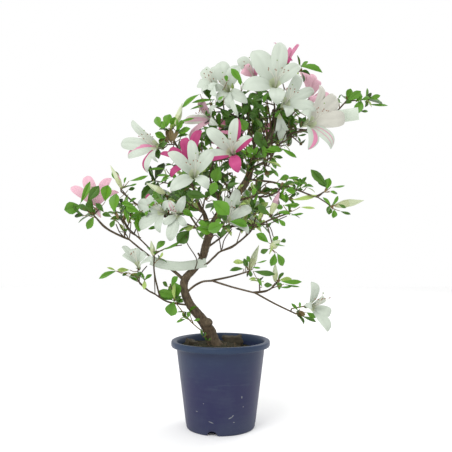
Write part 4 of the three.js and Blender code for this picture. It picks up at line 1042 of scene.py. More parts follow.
# %% Leaves picked from the portrait
leaf_picks = [
  dict(depth=-44, kind="bright", leaves=[
    (82, 206, 64, 210, 0.6), (94, 216, 87, 229, 0.42), (105, 202, 108, 185, 0.55),
    (80, 204, 92, 183, 0.22), (120, 183, 112, 171, 0.45), (114, 213, 115, 193, 0.5),
    (134, 206, 121, 202, 0.35), (140, 212, 126, 207, 0.45), (128, 222, 126, 206, 0.3)]),
  dict(depth=-40, kind="deep", leaves=[
    (87, 202, 99, 186, 0.4), (112, 217, 102, 213, 0.42), (115, 219, 111, 228, 0.45),
    (88, 212, 79, 204, 0.45), (104, 212, 96, 203, 0.4), (120, 198, 114, 208, 0.4),
    (96, 208, 90, 216, 0.45), (124, 214, 132, 208, 0.4)]),
  dict(depth=-20, kind="bright", leaves=[
    (129, 181, 148, 178, 0.16), (128, 186, 137, 185, 0.2), (124, 184, 126, 177, 0.3),
    (166, 169, 149, 167, 0.15), (171, 176, 157, 173, 0.16), (171, 176, 161, 178, 0.16),
    (171, 177, 159, 182, 0.16)]),
  dict(depth=-30, kind="bright", leaves=[
    (167, 200, 152, 204, 0.3), (155, 216, 130, 212, 0.25), (139, 213, 139, 232, 0.42),
    (160, 227, 148, 227, 0.25), (190, 226, 178, 230, 0.2), (152, 200, 155, 195, 0.6),
    (194, 217, 183, 211, 0.45)]),
  dict(depth=-26, kind="deep", leaves=[
    (190, 230, 177, 243, 0.6), (128, 190, 135, 188, 0.4), (184, 224, 172, 221, 0.35)]),
  dict(depth=-22, kind="bright", leaves=[
    (156, 250, 164, 240, 0.55), (117, 271, 98, 275, 0.25), (137, 282, 132, 273, 0.7),
    (162, 250, 182, 245, 0.14), (176, 301, 174, 282, 0.6), (178, 297, 158, 291, 0.35),
    (177, 298, 158, 296, 0.3), (174, 301, 170, 316, 0.8), (171, 284, 176, 277, 0.5),
    (188, 318, 189, 312, 0.6), (186, 319, 176, 321, 0.25), (193, 321, 200, 319, 0.35),
    (188, 320, 182, 313, 0.3)]),
  dict(depth=-18, kind="young", leaves=[(130, 270, 117, 270, 0.3), (116, 271, 108, 266, 0.2)]),
  dict(depth=-16, kind="deep", leaves=[
    (168, 287, 163, 282, 0.5), (177, 300, 183, 302, 0.5), (128, 272, 122, 276, 0.3),
    (176, 303, 181, 296, 0.4)]),
  dict(depth=-70, kind="bright", leaves=[
    (196, 228, 213, 229, 0.62), (224, 224, 208, 231, 0.6), (212, 200, 229, 214, 0.55),
    (229, 221, 247, 227, 0.45), (210, 196, 216, 182, 0.5), (252, 195, 255, 189, 0.6),
    (208, 226, 198, 222, 0.5), (214, 224, 221, 219, 0.5)]),
  dict(depth=-64, kind="deep", leaves=[
    (218, 208, 227, 221, 0.4), (208, 197, 186, 194, 0.35), (223, 227, 224, 236, 0.6),
    (249, 198, 246, 190, 0.4), (206, 232, 199, 236, 0.5), (211, 221, 202, 226, 0.5),
    (216, 231, 222, 237, 0.5), (240, 183, 228, 185, 0.3)]),
  dict(depth=-12, kind="bright", leaves=[
    (200, 94, 180, 104, 0.22), (216, 100, 192, 99, 0.12), (216, 103, 190, 106, 0.12),
    (218, 84, 210, 88, 0.3), (160, 128, 156, 116, 0.5), (166, 128, 170, 114, 0.62),
    (166, 138, 155, 133, 0.5), (178, 122, 195, 119, 0.16), (176, 138, 187, 133, 0.4),
    (172, 129, 175, 117, 0.6), (165, 131, 161, 121, 0.55), (176, 131, 183, 122, 0.45),
    (176, 134, 191, 129, 0.35), (178, 127, 184, 120, 0.4),
    (240, 118, 246, 129, 0.6)]),
  dict(depth=-58, kind="bright", leaves=[
    (243, 84, 231, 68, 0.3), (241, 86, 239, 78, 0.4), (227, 82, 226, 75, 0.5),
    (224, 96, 218, 100, 0.4)]),
  dict(depth=-4, kind="deep", leaves=[
    (166, 137, 159, 143, 0.5), (168, 142, 159, 147, 0.45), (180, 139, 188, 143, 0.4),
    (174, 134, 180, 128, 0.4), (210, 100, 205, 88, 0.7), (158, 148, 158, 158, 0.5),
    (203, 126, 212, 134, 0.4),
    (209, 112, 214, 122, 0.4), (224, 116, 234, 124, 0.5), (236, 115, 226, 126, 0.5),
    (206, 130, 217, 126, 0.4), (222, 96, 217, 100, 0.5), (226, 99, 216, 107, 0.5),
    (232, 103, 241, 112, 0.45), (244, 97, 253, 105, 0.45), (249, 104, 242, 115, 0.45),
    (220, 109, 229, 118, 0.45), (213, 108, 205, 116, 0.45), (238, 99, 247, 91, 0.4),
    (236, 108, 228, 114, 0.45), (252, 110, 244, 104, 0.45), (208, 118, 217, 112, 0.45),
    (256, 100, 263, 92, 0.4), (272, 102, 266, 94, 0.4), (258, 122, 250, 112, 0.4),
    (247, 101, 257, 92, 0.5), (253, 101, 264, 96, 0.4)]),
  dict(depth=18, kind="bright", leaves=[
    (298, 66, 323, 70, 0.32), (301, 66, 308, 61, 0.4), (298, 69, 291, 80, 0.22),
    (343, 104, 326, 93, 0.16), (346, 101, 361, 91, 0.4), (356, 102, 362, 96, 0.5),
    (361, 100, 370, 98, 0.5), (368, 99, 381, 95, 0.3), (368, 104, 387, 109, 0.2),
    (300, 118, 312, 127, 0.16)]),
  dict(depth=22, kind="deep", leaves=[
    (287, 91, 297, 80, 0.2), (345, 104, 352, 100, 0.5), (360, 111, 368, 112, 0.4),
    (291, 130, 290, 113, 0.45), (298, 116, 305, 127, 0.45), (306, 116, 300, 128, 0.4),
    (296, 122, 288, 118, 0.4), (297, 136, 307, 135, 0.2), (297, 136, 301, 142, 0.3)]),
  dict(depth=-18, kind="bright", leaves=[
    (266, 150, 283, 147, 0.5), (263, 152, 278, 150, 0.5), (281, 148, 296, 158, 0.28),
    (262, 165, 269, 178, 0.32), (270, 166, 276, 178, 0.25), (286, 178, 299, 179, 0.22),
    (288, 181, 305, 187, 0.12), (279, 180, 289, 176, 0.5), (280, 184, 290, 187, 0.5),
    (240, 150, 253, 156, 0.35)]),
  dict(depth=8, kind="deep", leaves=[
    (222, 166, 212, 174, 0.5), (228, 172, 222, 184, 0.4), (236, 176, 228, 190, 0.3),
    (214, 180, 223, 190, 0.4), (206, 184, 214, 193, 0.5), (224, 188, 216, 198, 0.4),
    (232, 162, 224, 170, 0.4), (240, 160, 246, 170, 0.4)]),
  dict(depth=-30, kind="bright", leaves=[(220, 166, 214, 182, 0.6), (246, 146, 253, 153, 0.5)]),
  dict(depth=-6, kind="deep", leaves=[
    (264, 152, 256, 131, 0.4), (272, 156, 283, 158, 0.3), (268, 148, 262, 138, 0.4),
    (250, 98, 258, 108, 0.4), (262, 96, 254, 110, 0.4), (266, 112, 258, 104, 0.4),
    (256, 118, 262, 128, 0.35), (276, 182, 284, 190, 0.4)]),
  dict(depth=-40, kind="bright", leaves=[
    (275, 208, 283, 207, 0.55), (277, 212, 290, 213, 0.35), (278, 219, 285, 226, 0.4),
    (283, 205, 300, 208, 0.25), (290, 215, 304, 215, 0.16), (285, 190, 296, 191, 0.55),
    (286, 192, 286, 203, 0.4), (327, 190, 330, 178, 0.6), (330, 191, 336, 193, 0.5),
    (331, 187, 345, 188, 0.16), (331, 206, 325, 196, 0.25), (334, 205, 338, 196, 0.3),
    (334, 209, 334, 218, 0.6)]),
  dict(depth=-38, kind="young", leaves=[
    (300, 207, 314, 209, 0.16), (290, 200, 318, 198, 0.14), (258, 220, 262, 212, 0.4),
    (246, 263, 233, 262, 0.35), (257, 279, 250, 277, 0.25), (279, 280, 292, 279, 0.32)]),
  dict(depth=-34, kind="deep", leaves=[
    (267, 214, 259, 206, 0.5), (328, 187, 311, 170, 0.3), (331, 208, 329, 215, 0.6),
    (340, 211, 350, 216, 0.25), (330, 192, 338, 193, 0.4), (327, 188, 318, 180, 0.4),
    (338, 204, 346, 208, 0.3), (330, 205, 327, 212, 0.4),
    (280, 242, 286, 240, 0.5), (269, 249, 260, 253, 0.45), (272, 222, 266, 228, 0.4)]),
  dict(depth=-46, kind="bright", leaves=[
    (269, 243, 256, 234, 0.45), (272, 241, 278, 236, 0.5), (250, 263, 247, 256, 0.4),
    (256, 263, 267, 262, 0.14), (252, 267, 260, 269, 0.22), (262, 287, 258, 278, 0.3),
    (275, 253, 272, 266, 0.5), (277, 253, 283, 266, 0.52), (280, 281, 302, 285, 0.22),
    (284, 284, 299, 290, 0.12), (279, 287, 292, 289, 0.15)]),
  dict(depth=-74, kind="bright", leaves=[
    (298, 311, 293, 302, 0.25), (300, 309, 300, 302, 0.3), (306, 312, 317, 318, 0.4)]),
  dict(depth=-42, kind="deep", leaves=[
    (244, 269, 230, 268, 0.28), (248, 267, 244, 259, 0.4), (250, 270, 251, 277, 0.5),
    (253, 271, 274, 276, 0.24), (273, 285, 264, 285, 0.45), (279, 277, 284, 273, 0.45)]),
  dict(depth=-76, kind="deep", leaves=[(302, 316, 315, 323, 0.28)]),
  dict(depth=-12, kind="deep", leaves=[
    (203, 337, 201, 329, 0.3), (204, 337, 206, 332, 0.3), (208, 341, 205, 338, 0.3),
    (208, 341, 211, 338, 0.3)]),
  dict(depth=-40, kind="scale", leaves=[
    (82, 206, 88, 211, 0.4), (93, 206, 87, 212, 0.4), (116, 211, 118, 219, 0.3)]),
  dict(depth=-72, kind="scale", leaves=[
    (298, 310, 305, 315, 0.4), (304, 316, 297, 311, 0.4)]),
  dict(depth=-14, kind="scale", leaves=[
    (171, 143, 166, 129, 0.3), (172, 143, 171, 128, 0.3), (173, 143, 177, 130, 0.3),
    (170, 144, 162, 136, 0.35), (172, 144, 168, 134, 0.3)]),
]
picked_feet = np.array([row[:2] for pick in leaf_picks for row in pick["leaves"]], float)
print("picked leaves", len(picked_feet))

# %% [markdown]
# Two tests keep the dealt leaves from covering the picked ones, or the sky that shows through the
# plant. A window is its left, top, right and bottom in the portrait.

# %% Picked places and open windows
picked_depth_limit = 24
tuft_clearance = 9
shoot_clearance = 5
open_windows = [
  (308, 168, 352, 224), (286, 124, 345, 174), (290, 218, 345, 276), (60, 228, 120, 264),
  (188, 240, 246, 258), (200, 268, 232, 330), (96, 280, 134, 330), (206, 104, 216, 110),
  (120, 176, 146, 200),
]


def near_picks(place, reach):
    """True where picked leaves stand in front of a place already."""
    if place[1] > picked_depth_limit:
        return False
    shown = portrait_points([place])[0]
    return np.hypot(*(picked_feet - shown).T).min() < reach


def in_the_open(tip):
    """True for a place that shows in one of the windows."""
    across, down = portrait_points([tip])[0]
    return any(left < across < right and top < down < bottom
               for left, top, right, bottom in open_windows)


print("windows", len(open_windows))

# %% [markdown]
# The tufts of the table give the leaves of the outline. They point where the front view says, and
# sway towards or away from the viewer. Leaves of one tuft are mostly of like kinds.

# %% Leaves of the outline
leaf_spacing = 1.7
outline_sway = 38
outline_size = (0.82, 1.12)
outline_breadth = (0.3, 0.58)
face_spread = 2.2
kind_spread = 0.4


def outline_leaves(tuft, spine, random, finer):
    """The leaves that the table names, one behind the other along the twig's last stretch."""
    place = np.array(tuft[:3], float)
    drawn = not (near_picks(place, tuft_clearance) or in_the_open(place))
    length, bearings = tuft[3], tuft[4:]
    reach = spine_length(spine)
    step = min(leaf_spacing, reach / (len(bearings) + 1))
    kind_share = finer()
    for index, bearing in enumerate(bearings):
        foot = spine_place(spine, reach - step * (index + 0.5))[0]
        sway = (random() * 2 - 1) * outline_sway * degree
        size = length * mix(*outline_size, random())
        breadth = mix(*outline_breadth, random())
        face = np.array([random() - 0.5, -0.9, random() + 0.3])
        face += np.array([finer() - 0.5, 0, finer() - 0.35]) * face_spread
        kind = leaf_kind(min(0.99, kind_share * (1 - kind_spread) + finer() * kind_spread))
        forward = bearing_direction(bearing * degree, sway)
        bends = leaf_bends(finer)
        if drawn:
            add_leaf(kind, foot, forward, face, size, breadth, *bends)


print("leaves of the outline sway", outline_sway, "degrees at most")

# %% [markdown]
# Each tuft and each finer shoot also ends in a whorl of smaller leaves that point towards and away
# from the viewer, so that it is round from every side. Round it stand the narrow brown scales that
# once closed its bud. The green lobes under a bloom are scales of another kind.

# %% Whorls and scales
round_turn = 6.28
scale_ring = 6.283
whorl_spread = (25, 85)
whorl_size = (0.5, 1.05)
whorl_breadth = (0.32, 0.54)
whorl_step = 0.5
scale_size = (0.7, 1.3)
scale_spread = (0.25, 0.6)
scale_curl, scale_fold, scale_breadth = -0.25, 0.3, 0.5


def whorl(foot, axis, length, count, finer):
    """Leaves all round a twig's end, with their upper faces towards its tip."""
    side, cross = crosswise(axis)
    first = finer() * round_turn
    for index in range(count):
        turn = first + index * golden_turn + finer() * 0.5
        lean = mix(*whorl_spread, finer()) * degree
        out = side * math.cos(turn) + cross * math.sin(turn)
        forward = axis * math.cos(lean) + out * math.sin(lean)
        size = length * mix(*whorl_size, finer())
        kind = leaf_kind(finer())
        start = foot - axis * index * whorl_step
        breadth = mix(*whorl_breadth, finer())
        add_leaf(kind, start, forward, axis + up * 0.3, size, breadth, *leaf_bends(finer))


def bud_scales(foot, axis, finer, count, size, kind="scale"):
    """A ring of narrow scales round a twig's end or under a bloom."""
    side, cross = crosswise(axis)
    for index in range(count):
        turn = index * scale_ring / count + finer()
        out = side * math.cos(turn) + cross * math.sin(turn)
        forward = axis + out * mix(*scale_spread, finer())
        long = size * mix(*scale_size, finer())
        start = foot - axis * 1.2
        add_leaf(kind, start, forward, -out, long, scale_breadth, scale_curl, scale_fold)


print("leaves of a whorl lean", whorl_spread, "degrees out")

# %% [markdown]
# Now the masses grow. What the table names comes first, in the very order in which the solids
# were grown, so that the random numbers agree. A second seed deals what the solids don't have.

# %% Stems, tips and tufts
stem_relief = [0.35, 0.3]
twig_relief = [0.3, 0.2]
shoot_relief = [0.15, 0.1]
seed_spread = 50
foot_shoot = "foot_shoot_foliage"
foot_shoot_radii = [0.95, 0.7]
twig_radii = [1.1, 0.85]
least_foot_radius = 1.15
table_seed, table_seed_step = 101, 17
finer_seed, finer_seed_step = 9001, 29
bloom_rows = []
bud_rows = []


def grow_stem(row, finer):
    """The stem of a mass. The one at the trunk's foot is a young shoot."""
    parent = limbs[row["on"]]
    bends = [parent["point_at"](row["start"]), *row["stem"]]
    stem = smooth_curve(bends, len(bends) * 2)
    if row["name"] == foot_shoot:
        add_skin("shoot", stem, foot_shoot_radii, shoot_relief, finer() * seed_spread)
    else:
        radii = [max(least_foot_radius, parent["tip"] - 0.1), least_foot_radius]
        add_skin("twig", stem, radii, stem_relief, finer() * seed_spread)
    return stem


def grow_tips(row, random, finer):
    """Draws a twig to every tip of a mass and gives its spines and its tufts."""
    stem = grow_stem(row, finer)
    spines = [stem]
    places = branching_places(stem)
    tufts = []
    for tip in tips_of(row, stem[0], random):
        at, along, spine = nearest_place(tip["foot"], places)
        if np.linalg.norm(at - tip["foot"]) > short_twig:
            spine = twig_spine(at, along, tip["foot"])
            add_skin("twig", spine, twig_radii, twig_relief, finer() * seed_spread)
            places += branching_places(spine)
            spines.append(spine)
        tip["spine"] = spine
        if "tuft" in tip:
            tufts.append(tip)
        elif "bud" in tip:
            bud_rows.append(tip["bud"])
        else:
            bloom_rows.append(tip["bloom"])
    for tip in tufts:
        outline_leaves(tip["tuft"], tip["spine"], random, finer)
    return spines, tufts


grown_masses = []
for index, row in enumerate(mass_table):
    random = seeded(table_seed + index * table_seed_step)
    finer = seeded(finer_seed + index * finer_seed_step)
    grown_masses.append(grow_tips(row, random, finer))
print("masses", len(grown_masses), "blooms", len(bloom_rows), "buds", len(bud_rows))

# %% [markdown]
# Twigs can be picked from the portrait like the leaves: each line is the points, across and down,
# through which a twig shows. Lines that lie at one depth and are as thick stand together.

# %% Twigs picked from the portrait
twig_picks = [
  dict(depth=-22, radii=[1.1, 0.75], lines=[
    [(95, 217), (105, 228), (127, 239)], [(116, 224), (120, 233), (127, 239)],
    [(118, 222), (123, 230), (128, 238)], [(121, 218), (130, 232), (141, 238)],
    [(131, 222), (129, 239)], [(122, 190), (131, 200), (150, 213), (170, 218)],
    [(140, 284), (147, 290), (154, 293)], [(154, 267), (155, 293)],
    [(139, 280), (142, 272), (147, 266)], [(182, 245), (170, 247), (160, 251), (153, 256)],
    [(178, 302), (173, 292), (170, 284)], [(172, 150), (174, 144), (172, 138)]]),
  dict(depth=-34, radii=[1.0, 0.65], lines=[
    [(195, 269), (197, 260), (187, 243), (186, 236)],
    [(204, 265), (214, 258), (221, 251), (232, 246), (242, 239), (250, 231), (255, 224)],
    [(221, 250), (219, 238), (216, 235)], [(222, 249), (224, 240), (232, 229)],
    [(208, 247), (214, 235)], [(255, 225), (268, 224), (280, 219), (287, 216)],
    [(265, 224), (270, 227), (273, 236)], [(252, 196), (262, 196), (276, 188)],
    [(256, 194), (267, 183), (276, 183)], [(240, 201), (254, 196), (266, 187)]]),
  dict(depth=-4, radii=[1.2, 0.7], lines=[
    [(232, 172), (233, 188), (229, 200)], [(262, 140), (265, 130), (268, 118)],
    [(255, 150), (250, 132), (248, 115)], [(250, 182), (261, 171), (268, 160)],
    [(255, 165), (257, 178), (256, 190)], [(282, 142), (289, 130), (308, 130)],
    [(283, 142), (290, 138), (297, 136)], [(277, 72), (283, 84), (285, 96)]]),
  dict(depth=-38, radii=[0.9, 0.6], lines=[
    [(290, 187), (317, 197), (324, 192)], [(317, 197), (324, 201), (331, 207)],
    [(262, 292), (270, 289), (278, 286)], [(256, 293), (268, 291), (275, 283)]]),
  dict(depth=-4, radii=[2.3, 1.5], lines=[
    [(270, 140), (275, 125), (273, 110)], [(208, 222), (205, 213), (196, 200)],
    [(205, 263), (201, 258), (198, 253)]]),
  dict(depth=10, radii=[1.5, 0.8], lines=[
    [(265, 168), (262, 150), (251, 128), (246, 108)],
    [(266, 166), (268, 148), (262, 128), (257, 104)],
    [(268, 166), (272, 146), (271, 124), (267, 100)],
    [(270, 160), (280, 140), (287, 124), (294, 112)],
    [(270, 156), (281, 142), (292, 134), (302, 130)],
    [(262, 160), (250, 146), (240, 132), (230, 118)],
    [(266, 150), (277, 134), (281, 120), (283, 102)],
    [(258, 160), (246, 150), (236, 141), (226, 134)],
    [(236, 120), (222, 112), (212, 112), (206, 106)]]),
]
print("picked twigs", sum(len(pick["lines"]) for pick in twig_picks))

# %% [markdown]
# A picked twig springs from the wood that is nearest to one of its ends, and its depth runs from
# there to its own. Distance across the portrait counts more than depth, because that is what
# shows.

# %% Picked twigs on the wood
portrait_weight = [2.5, 1, 2.5]
root_share = 0.4
picked_relief = [0.25, 0.2]
picked_seed = 5


def wood_points():
    """Every place along the wood that has grown so far."""
    return np.vstack([path for kind in ("trunk", "bough", "twig") for path, *_ in skins[kind]])


def wood_gaps(place, wood):
    """How far places on the wood are, with distance across the portrait counted more."""
    return np.linalg.norm((wood - place) * portrait_weight, axis=1)


def nearest_wood(place, wood):
    return wood[int(np.argmin(wood_gaps(place, wood)))]


def picked_twig(line, depth, radii):
    """A twig through points of the portrait that springs from the wood nearest one of its ends."""
    wood = wood_points()
    ends = [in_view(*line[0], depth), in_view(*line[-1], depth)]
    if wood_gaps(ends[1], wood).min() < wood_gaps(ends[0], wood).min():
        line, ends = line[::-1], ends[::-1]
    root = nearest_wood(ends[0], wood)
    points = [root]
    for index, (across, down) in enumerate(line):
        share = min(1, (index + root_share) / (len(line) - 1))
        points.append(in_view(across, down, mix(root[1], depth, share)))
    twig = smooth_curve(points, len(points) * 3)
    add_skin("twig", twig, radii, picked_relief, picked_seed)


for pick in twig_picks:
    for line in pick["lines"]:
        picked_twig(line, pick["depth"], pick["radii"])
print("twigs", len(skins["twig"]))

# %% [markdown]
# A picked leaf sits just in front of the nearest wood, or stands off at its own depth on a thin
# stalk. It faces the viewer more or less, and is a little broader than it looks, since it is
# seen aslant.

# %% Picked leaves on the wood
depth_snap = 14
shortest_stalk = 1.2
stalk_radii = [0.7, 0.5]
stalk_relief = [0.1, 0.1]
stalk_sag = 0.06
pick_seed = 313
pick_slant = (-10, 5)
pick_rise = (-0.1, 0.8)
pick_breadth = 1.2
pick_curl = (-0.25, 0.1)
pick_fold = (0.1, 0.7)
pick_sickle = (0.1, 0.22)
narrow_leaf = 0.3


def add_stalk(start, foot):
    """A thin stalk that sags a little, where a leaf stands clear of the wood."""
    reach = np.linalg.norm(foot - start)
    if reach > shortest_stalk:
        middle = (start + foot) / 2 - up * reach * stalk_sag
        add_skin("shoot", np.array([start, middle, foot]), stalk_radii, stalk_relief)


def picked_leaf(row, kind, depth, root, finer):
    """One leaf from its foot to its tip. A narrow one also bends sideways."""
    foot = in_view(row[0], row[1], depth)
    tip = in_view(row[2], row[3], depth + mix(*pick_slant, finer()))
    add_stalk(root, foot)
    face = np.array([finer() - 0.5, -1, mix(*pick_rise, finer())])
    size = np.linalg.norm(tip - foot)
    curl, fold = mix(*pick_curl, finer()), mix(*pick_fold, finer())
    sickle = mix(*pick_sickle, finer()) if row[4] < narrow_leaf else 0
    add_leaf(kind, foot, tip - foot, face, size, row[4] * pick_breadth, curl, fold, sickle)


def picked_leaves(finer):
    """Adds every picked leaf, just in front of the nearest wood or at its own depth."""
    wood = wood_points()
    for pick in leaf_picks:
        for row in pick["leaves"]:
            root = nearest_wood(in_view(row[0], row[1], pick["depth"]), wood)
            near = abs(root[1] - pick["depth"]) < depth_snap
            picked_leaf(row, pick["kind"], root[1] - 1 if near else pick["depth"], root, finer)


picked_leaves(seeded(pick_seed))
print("stalks and shoots", len(skins["shoot"]))

# %% [markdown]
# Nothing more grows far from the tips of the table, so that the sky stays open, and the low
# boughs stay nearly bare, as they are on the real plant. Within that reach each tuft is filled up
# with its whorl, thinner where leaves are picked.

# %% Whorls at the tufts
full_whorl, thin_whorl, lone_leaf = 7, 3, 1
reach_limit = 34
bare_height = 285
low_reach_limit = 15
reached = [tip["foot"] for _, tufts in grown_masses for tip in tufts]
reached += [bloom[0] for bloom in bloom_rows]


def fill_tufts(tufts, finer):
    """More leaves and the brown bud scales at each tuft, fewer where leaves are picked."""
    for tip in tufts:
        axis = unit(tip["spine"][-1] - tip["spine"][-2])
        count = thin_whorl if near_picks(tip["foot"], tuft_clearance) else full_whorl
        if in_the_open(tip["foot"]):
            count = lone_leaf
        whorl(tip["foot"], axis, tip["tuft"][3] * 0.75, count, finer)
        bud_scales(tip["foot"], axis, finer, 6, 6.5)


def within_reach(tip):
    """True near the tips of the table, so that nothing grows into the open sky."""
    if in_the_open(tip):
        return False
    limit = reach_limit if tip[2] > bare_height else low_reach_limit
    return min(np.linalg.norm(tip - foot) for foot in reached) < limit


print("tips in reach", len(reached))

# %% [markdown]
# Finer shoots spring from the limbs that are there, stay short, and end in whorls of small leaves.
# Some places stay bare. The boughs get fewer of them, and the crown is the densest part.

# %% Finer shoots
bare_share = 0.4
shoot_radii = [0.75, 0.55]
shoot_bow = 1.5
shoot_whorl = (0.75, 1.2)
fill_seed, fill_seed_step = 5003, 31
crown_seed = 616
upper_ring = 17
finer_shoots = 0


def finer_growth(spines, finer, gap=11, length=(9, 24), leaf=20, rise=0.35):
    """Short side shoots along the spines, each with a whorl at its end."""
    global finer_shoots
    for spine in spines:
        reach = spine_length(spine)
        for index in range(int(reach / gap)):
            if finer() < bare_share:
                continue
            at, along = spine_place(spine, (index + 0.4 + finer() * 0.6) * gap)
            side, cross = crosswise(along)
            turn = finer() * round_turn
            out = side * math.cos(turn) + cross * math.sin(turn) + up * rise
            tip = at + unit(along * 0.8 + out) * mix(*length, finer())
            if not within_reach(tip) or near_picks(tip, shoot_clearance):
                continue
            middle = (at + tip) / 2 + along * shoot_bow
            shoot = np.array([at, middle, tip])
            add_skin("shoot", shoot, shoot_radii, shoot_relief, finer() * seed_spread)
            axis = unit(tip - middle)
            size = leaf * mix(*shoot_whorl, finer())
            whorl(tip, axis, size, 3 + int(finer() * 3), finer)
            bud_scales(tip, axis, finer, 3, 3.2)
            finer_shoots += 1


for index, (spines, tufts) in enumerate(grown_masses):
    finer = seeded(fill_seed + index * fill_seed_step)
    fill_tufts(tufts, finer)
    finer_growth(spines, finer)
finer = seeded(crown_seed)
bough_spines = [limbs[row["name"]]["spine"] for row in bough_table]
crown_spines = [limbs[name]["spine"] for name in ("left_leader", "right_leader", "centre_bough")]
upper_trunk = trunk_spine[upper_ring:]
finer_growth(bough_spines, finer, gap=14, length=(14, 36), leaf=16, rise=1.1)
finer_growth([upper_trunk, *crown_spines, *crown_spines], finer, gap=5, length=(18, 50), leaf=22,
             rise=1.6)
print("finer shoots", finer_shoots, "leaves", {kind: len(leaf_rows[kind]) for kind in leaf_rows})

# %% [markdown]
# A bloom's parts are worked out before any mesh is made, so that its filaments can share the
# limbs' skin and its green cup can share the leaves' rule. In a bloom, `across` and `upright` are
# the axes of its face, seen from the front, and a petal's bearing is measured from `across`. A
# bloom whose look names its throat hangs on a stalk of its own.

# %% The frame of a bloom
bloom_stalk_radii = [0.85, 0.95]


def bloom_axes(facing):
    """The axes of a bloom's face, across and up."""
    level = up if abs(facing[2]) < 0.75 else np.array([0, 1.0, 0])
    across = unit(np.cross(level, facing))
    return across, np.cross(facing, across)


def dressed_bloom(foot, facing, radius, look_name):
    """A bloom as its look has it: turned about its foot, or hung on a stalk of its own."""
    look = bloom_looks[look_name]
    facing = unit(np.array(look.get("facing", facing), float))
    if "throat" not in look:
        return foot + facing * radius * bloom_depth, facing, radius, look
    throat = in_view(*look["throat"])
    own_foot = throat - facing * radius * bloom_depth
    if np.linalg.norm(own_foot - foot) > 1:
        middle = (foot + own_foot) / 2 - facing * 2
        add_skin("shoot", np.array([foot, middle, own_foot]), bloom_stalk_radii, stalk_relief)
    return throat, facing, radius, look


blooms = [dressed_bloom(*row) for row in bloom_rows]
print("blooms", len(blooms))

# %% [markdown]
# Azalea stamens fan out of the throat and arch up towards the upper petals, each with a brown
# pollen sac at its end. The pistil is longer than they are. Blooms that lie behind others show
# fewer of them or none, as their looks say. Under each bloom sit the green lobes of its cup.

# %% Stamens and pistils
usual_stamens = 7
stamen_fan = 70
stamen_lean = (0.2, 0.42)
stamen_reach = (0.3, 0.5)
filament_radii = [0.4, 0.28]
pistil_radii = [0.5, 0.38]
filament_relief = [0.02, 0.02]
stamen_seed = 4242
anther_rows = []
pistil_rows = []


def add_stamens(throat, facing, radius, look, finer):
    """Filaments that arch out of the throat, each with a pollen sac."""
    across, upright = bloom_axes(facing)
    for index in range(look.get("stamens", usual_stamens)):
        fan = (index / (usual_stamens - 1) - 0.5) * stamen_fan * degree + (finer() - 0.5) * 0.2
        lean = mix(*stamen_lean, finer())
        side = across * math.sin(fan) + upright * (0.75 * math.cos(fan) - 0.2)
        foot = throat - facing * radius * 0.5
        middle = throat + facing * radius * 0.12 + side * radius * 0.1
        reach = mix(*stamen_reach, finer())
        tip = throat + facing * radius * reach + side * radius * lean * 1.5
        path = np.array([foot, middle, (middle + tip) / 2 + facing * radius * 0.06, tip])
        add_skin("filament", path, filament_radii, filament_relief)
        anther_rows.append((tip, unit(tip - middle)))


def add_pistil(foot, throat, facing, radius):
    """The style, which rises above the stamens, with the pistil's head at its tip."""
    upright = bloom_axes(facing)[1]
    tip = throat + facing * radius * 0.55 + upright * radius * 0.42
    path = np.array([foot, throat + facing * radius * 0.15, tip])
    add_skin("filament", path, pistil_radii, filament_relief)
    pistil_rows.append((tip, unit(tip - throat)))


finer = seeded(stamen_seed)
for throat, facing, radius, look in blooms:
    add_stamens(throat, facing, radius, look, finer)
    foot = throat - facing * radius * bloom_depth
    bud_scales(foot, facing, finer, 5, 6.5, "calyx")
    bud_scales(foot - facing * 1.5, facing, finer, 4, 4.5)
    if look.get("stamens", usual_stamens):
        add_pistil(foot, throat, facing, radius)
print("anthers", len(anther_rows), "pistils", len(pistil_rows))

# %% [markdown]
# Pieces made from arrays all end the same way: one mesh object at the origin, its sizes in
# metres, smooth, with its materials in slots and its faces dealt to them. Many of them are rings
# of corners, one after the other, and get their faces from one helper.

# %% From arrays to a piece


def made_mesh(name, corners, faces, materials, slots=None, sharp=None):
    """A mesh object in place. Corners come in millimetres."""
    mesh = bpy.data.meshes.new(name)
    mesh.from_pydata((np.asarray(corners, float) * mm).tolist(), [], faces, shade_flat=False)
    for material in materials:
        mesh.materials.append(material)
    if slots is not None:
        mesh.polygons.foreach_set("material_index", np.asarray(slots, np.int32))
    if sharp is not None:
        mark_sharp(mesh, sharp)
    mesh.update()
    return in_scene(name, mesh)


def mark_sharp(mesh, corners):
    """Every edge between two of these corners shades as a crease."""
    marked = np.zeros(len(mesh.vertices), bool)
    marked[list(corners)] = True
    ends = np.empty(len(mesh.edges) * 2, np.int32)
    mesh.edges.foreach_get("vertices", ends)
    ends = ends.reshape(-1, 2)
    layer = mesh.attributes.new("sharp_edge", "BOOLEAN", "EDGE")
    layer.data.foreach_set("value", marked[ends].all(axis=1))


def ring_faces(rings, around, first=0, flipped=False):
    """The faces with four corners between rings that follow one another, from corner `first` on."""
    faces = []
    for ring in range(rings - 1):
        for k in range(around):
            a = first + ring * around + k
            b = first + ring * around + (k + 1) % around
            face = (a, b, b + around, a + around)
            faces.append((a, *face[:0:-1]) if flipped else face)
    return faces


print("a tube of three rings has", len(ring_faces(3, 6)), "faces")

# %% [markdown]
# Geometry Nodes trees are built here with steps that are always the same: a tree with named
# inputs, an object that carries it, and the plain mesh that comes out of it. Between them, values
# ride along on the points by name, small objects are repeated, and points are moved.

# %% From a nodes tree to a piece


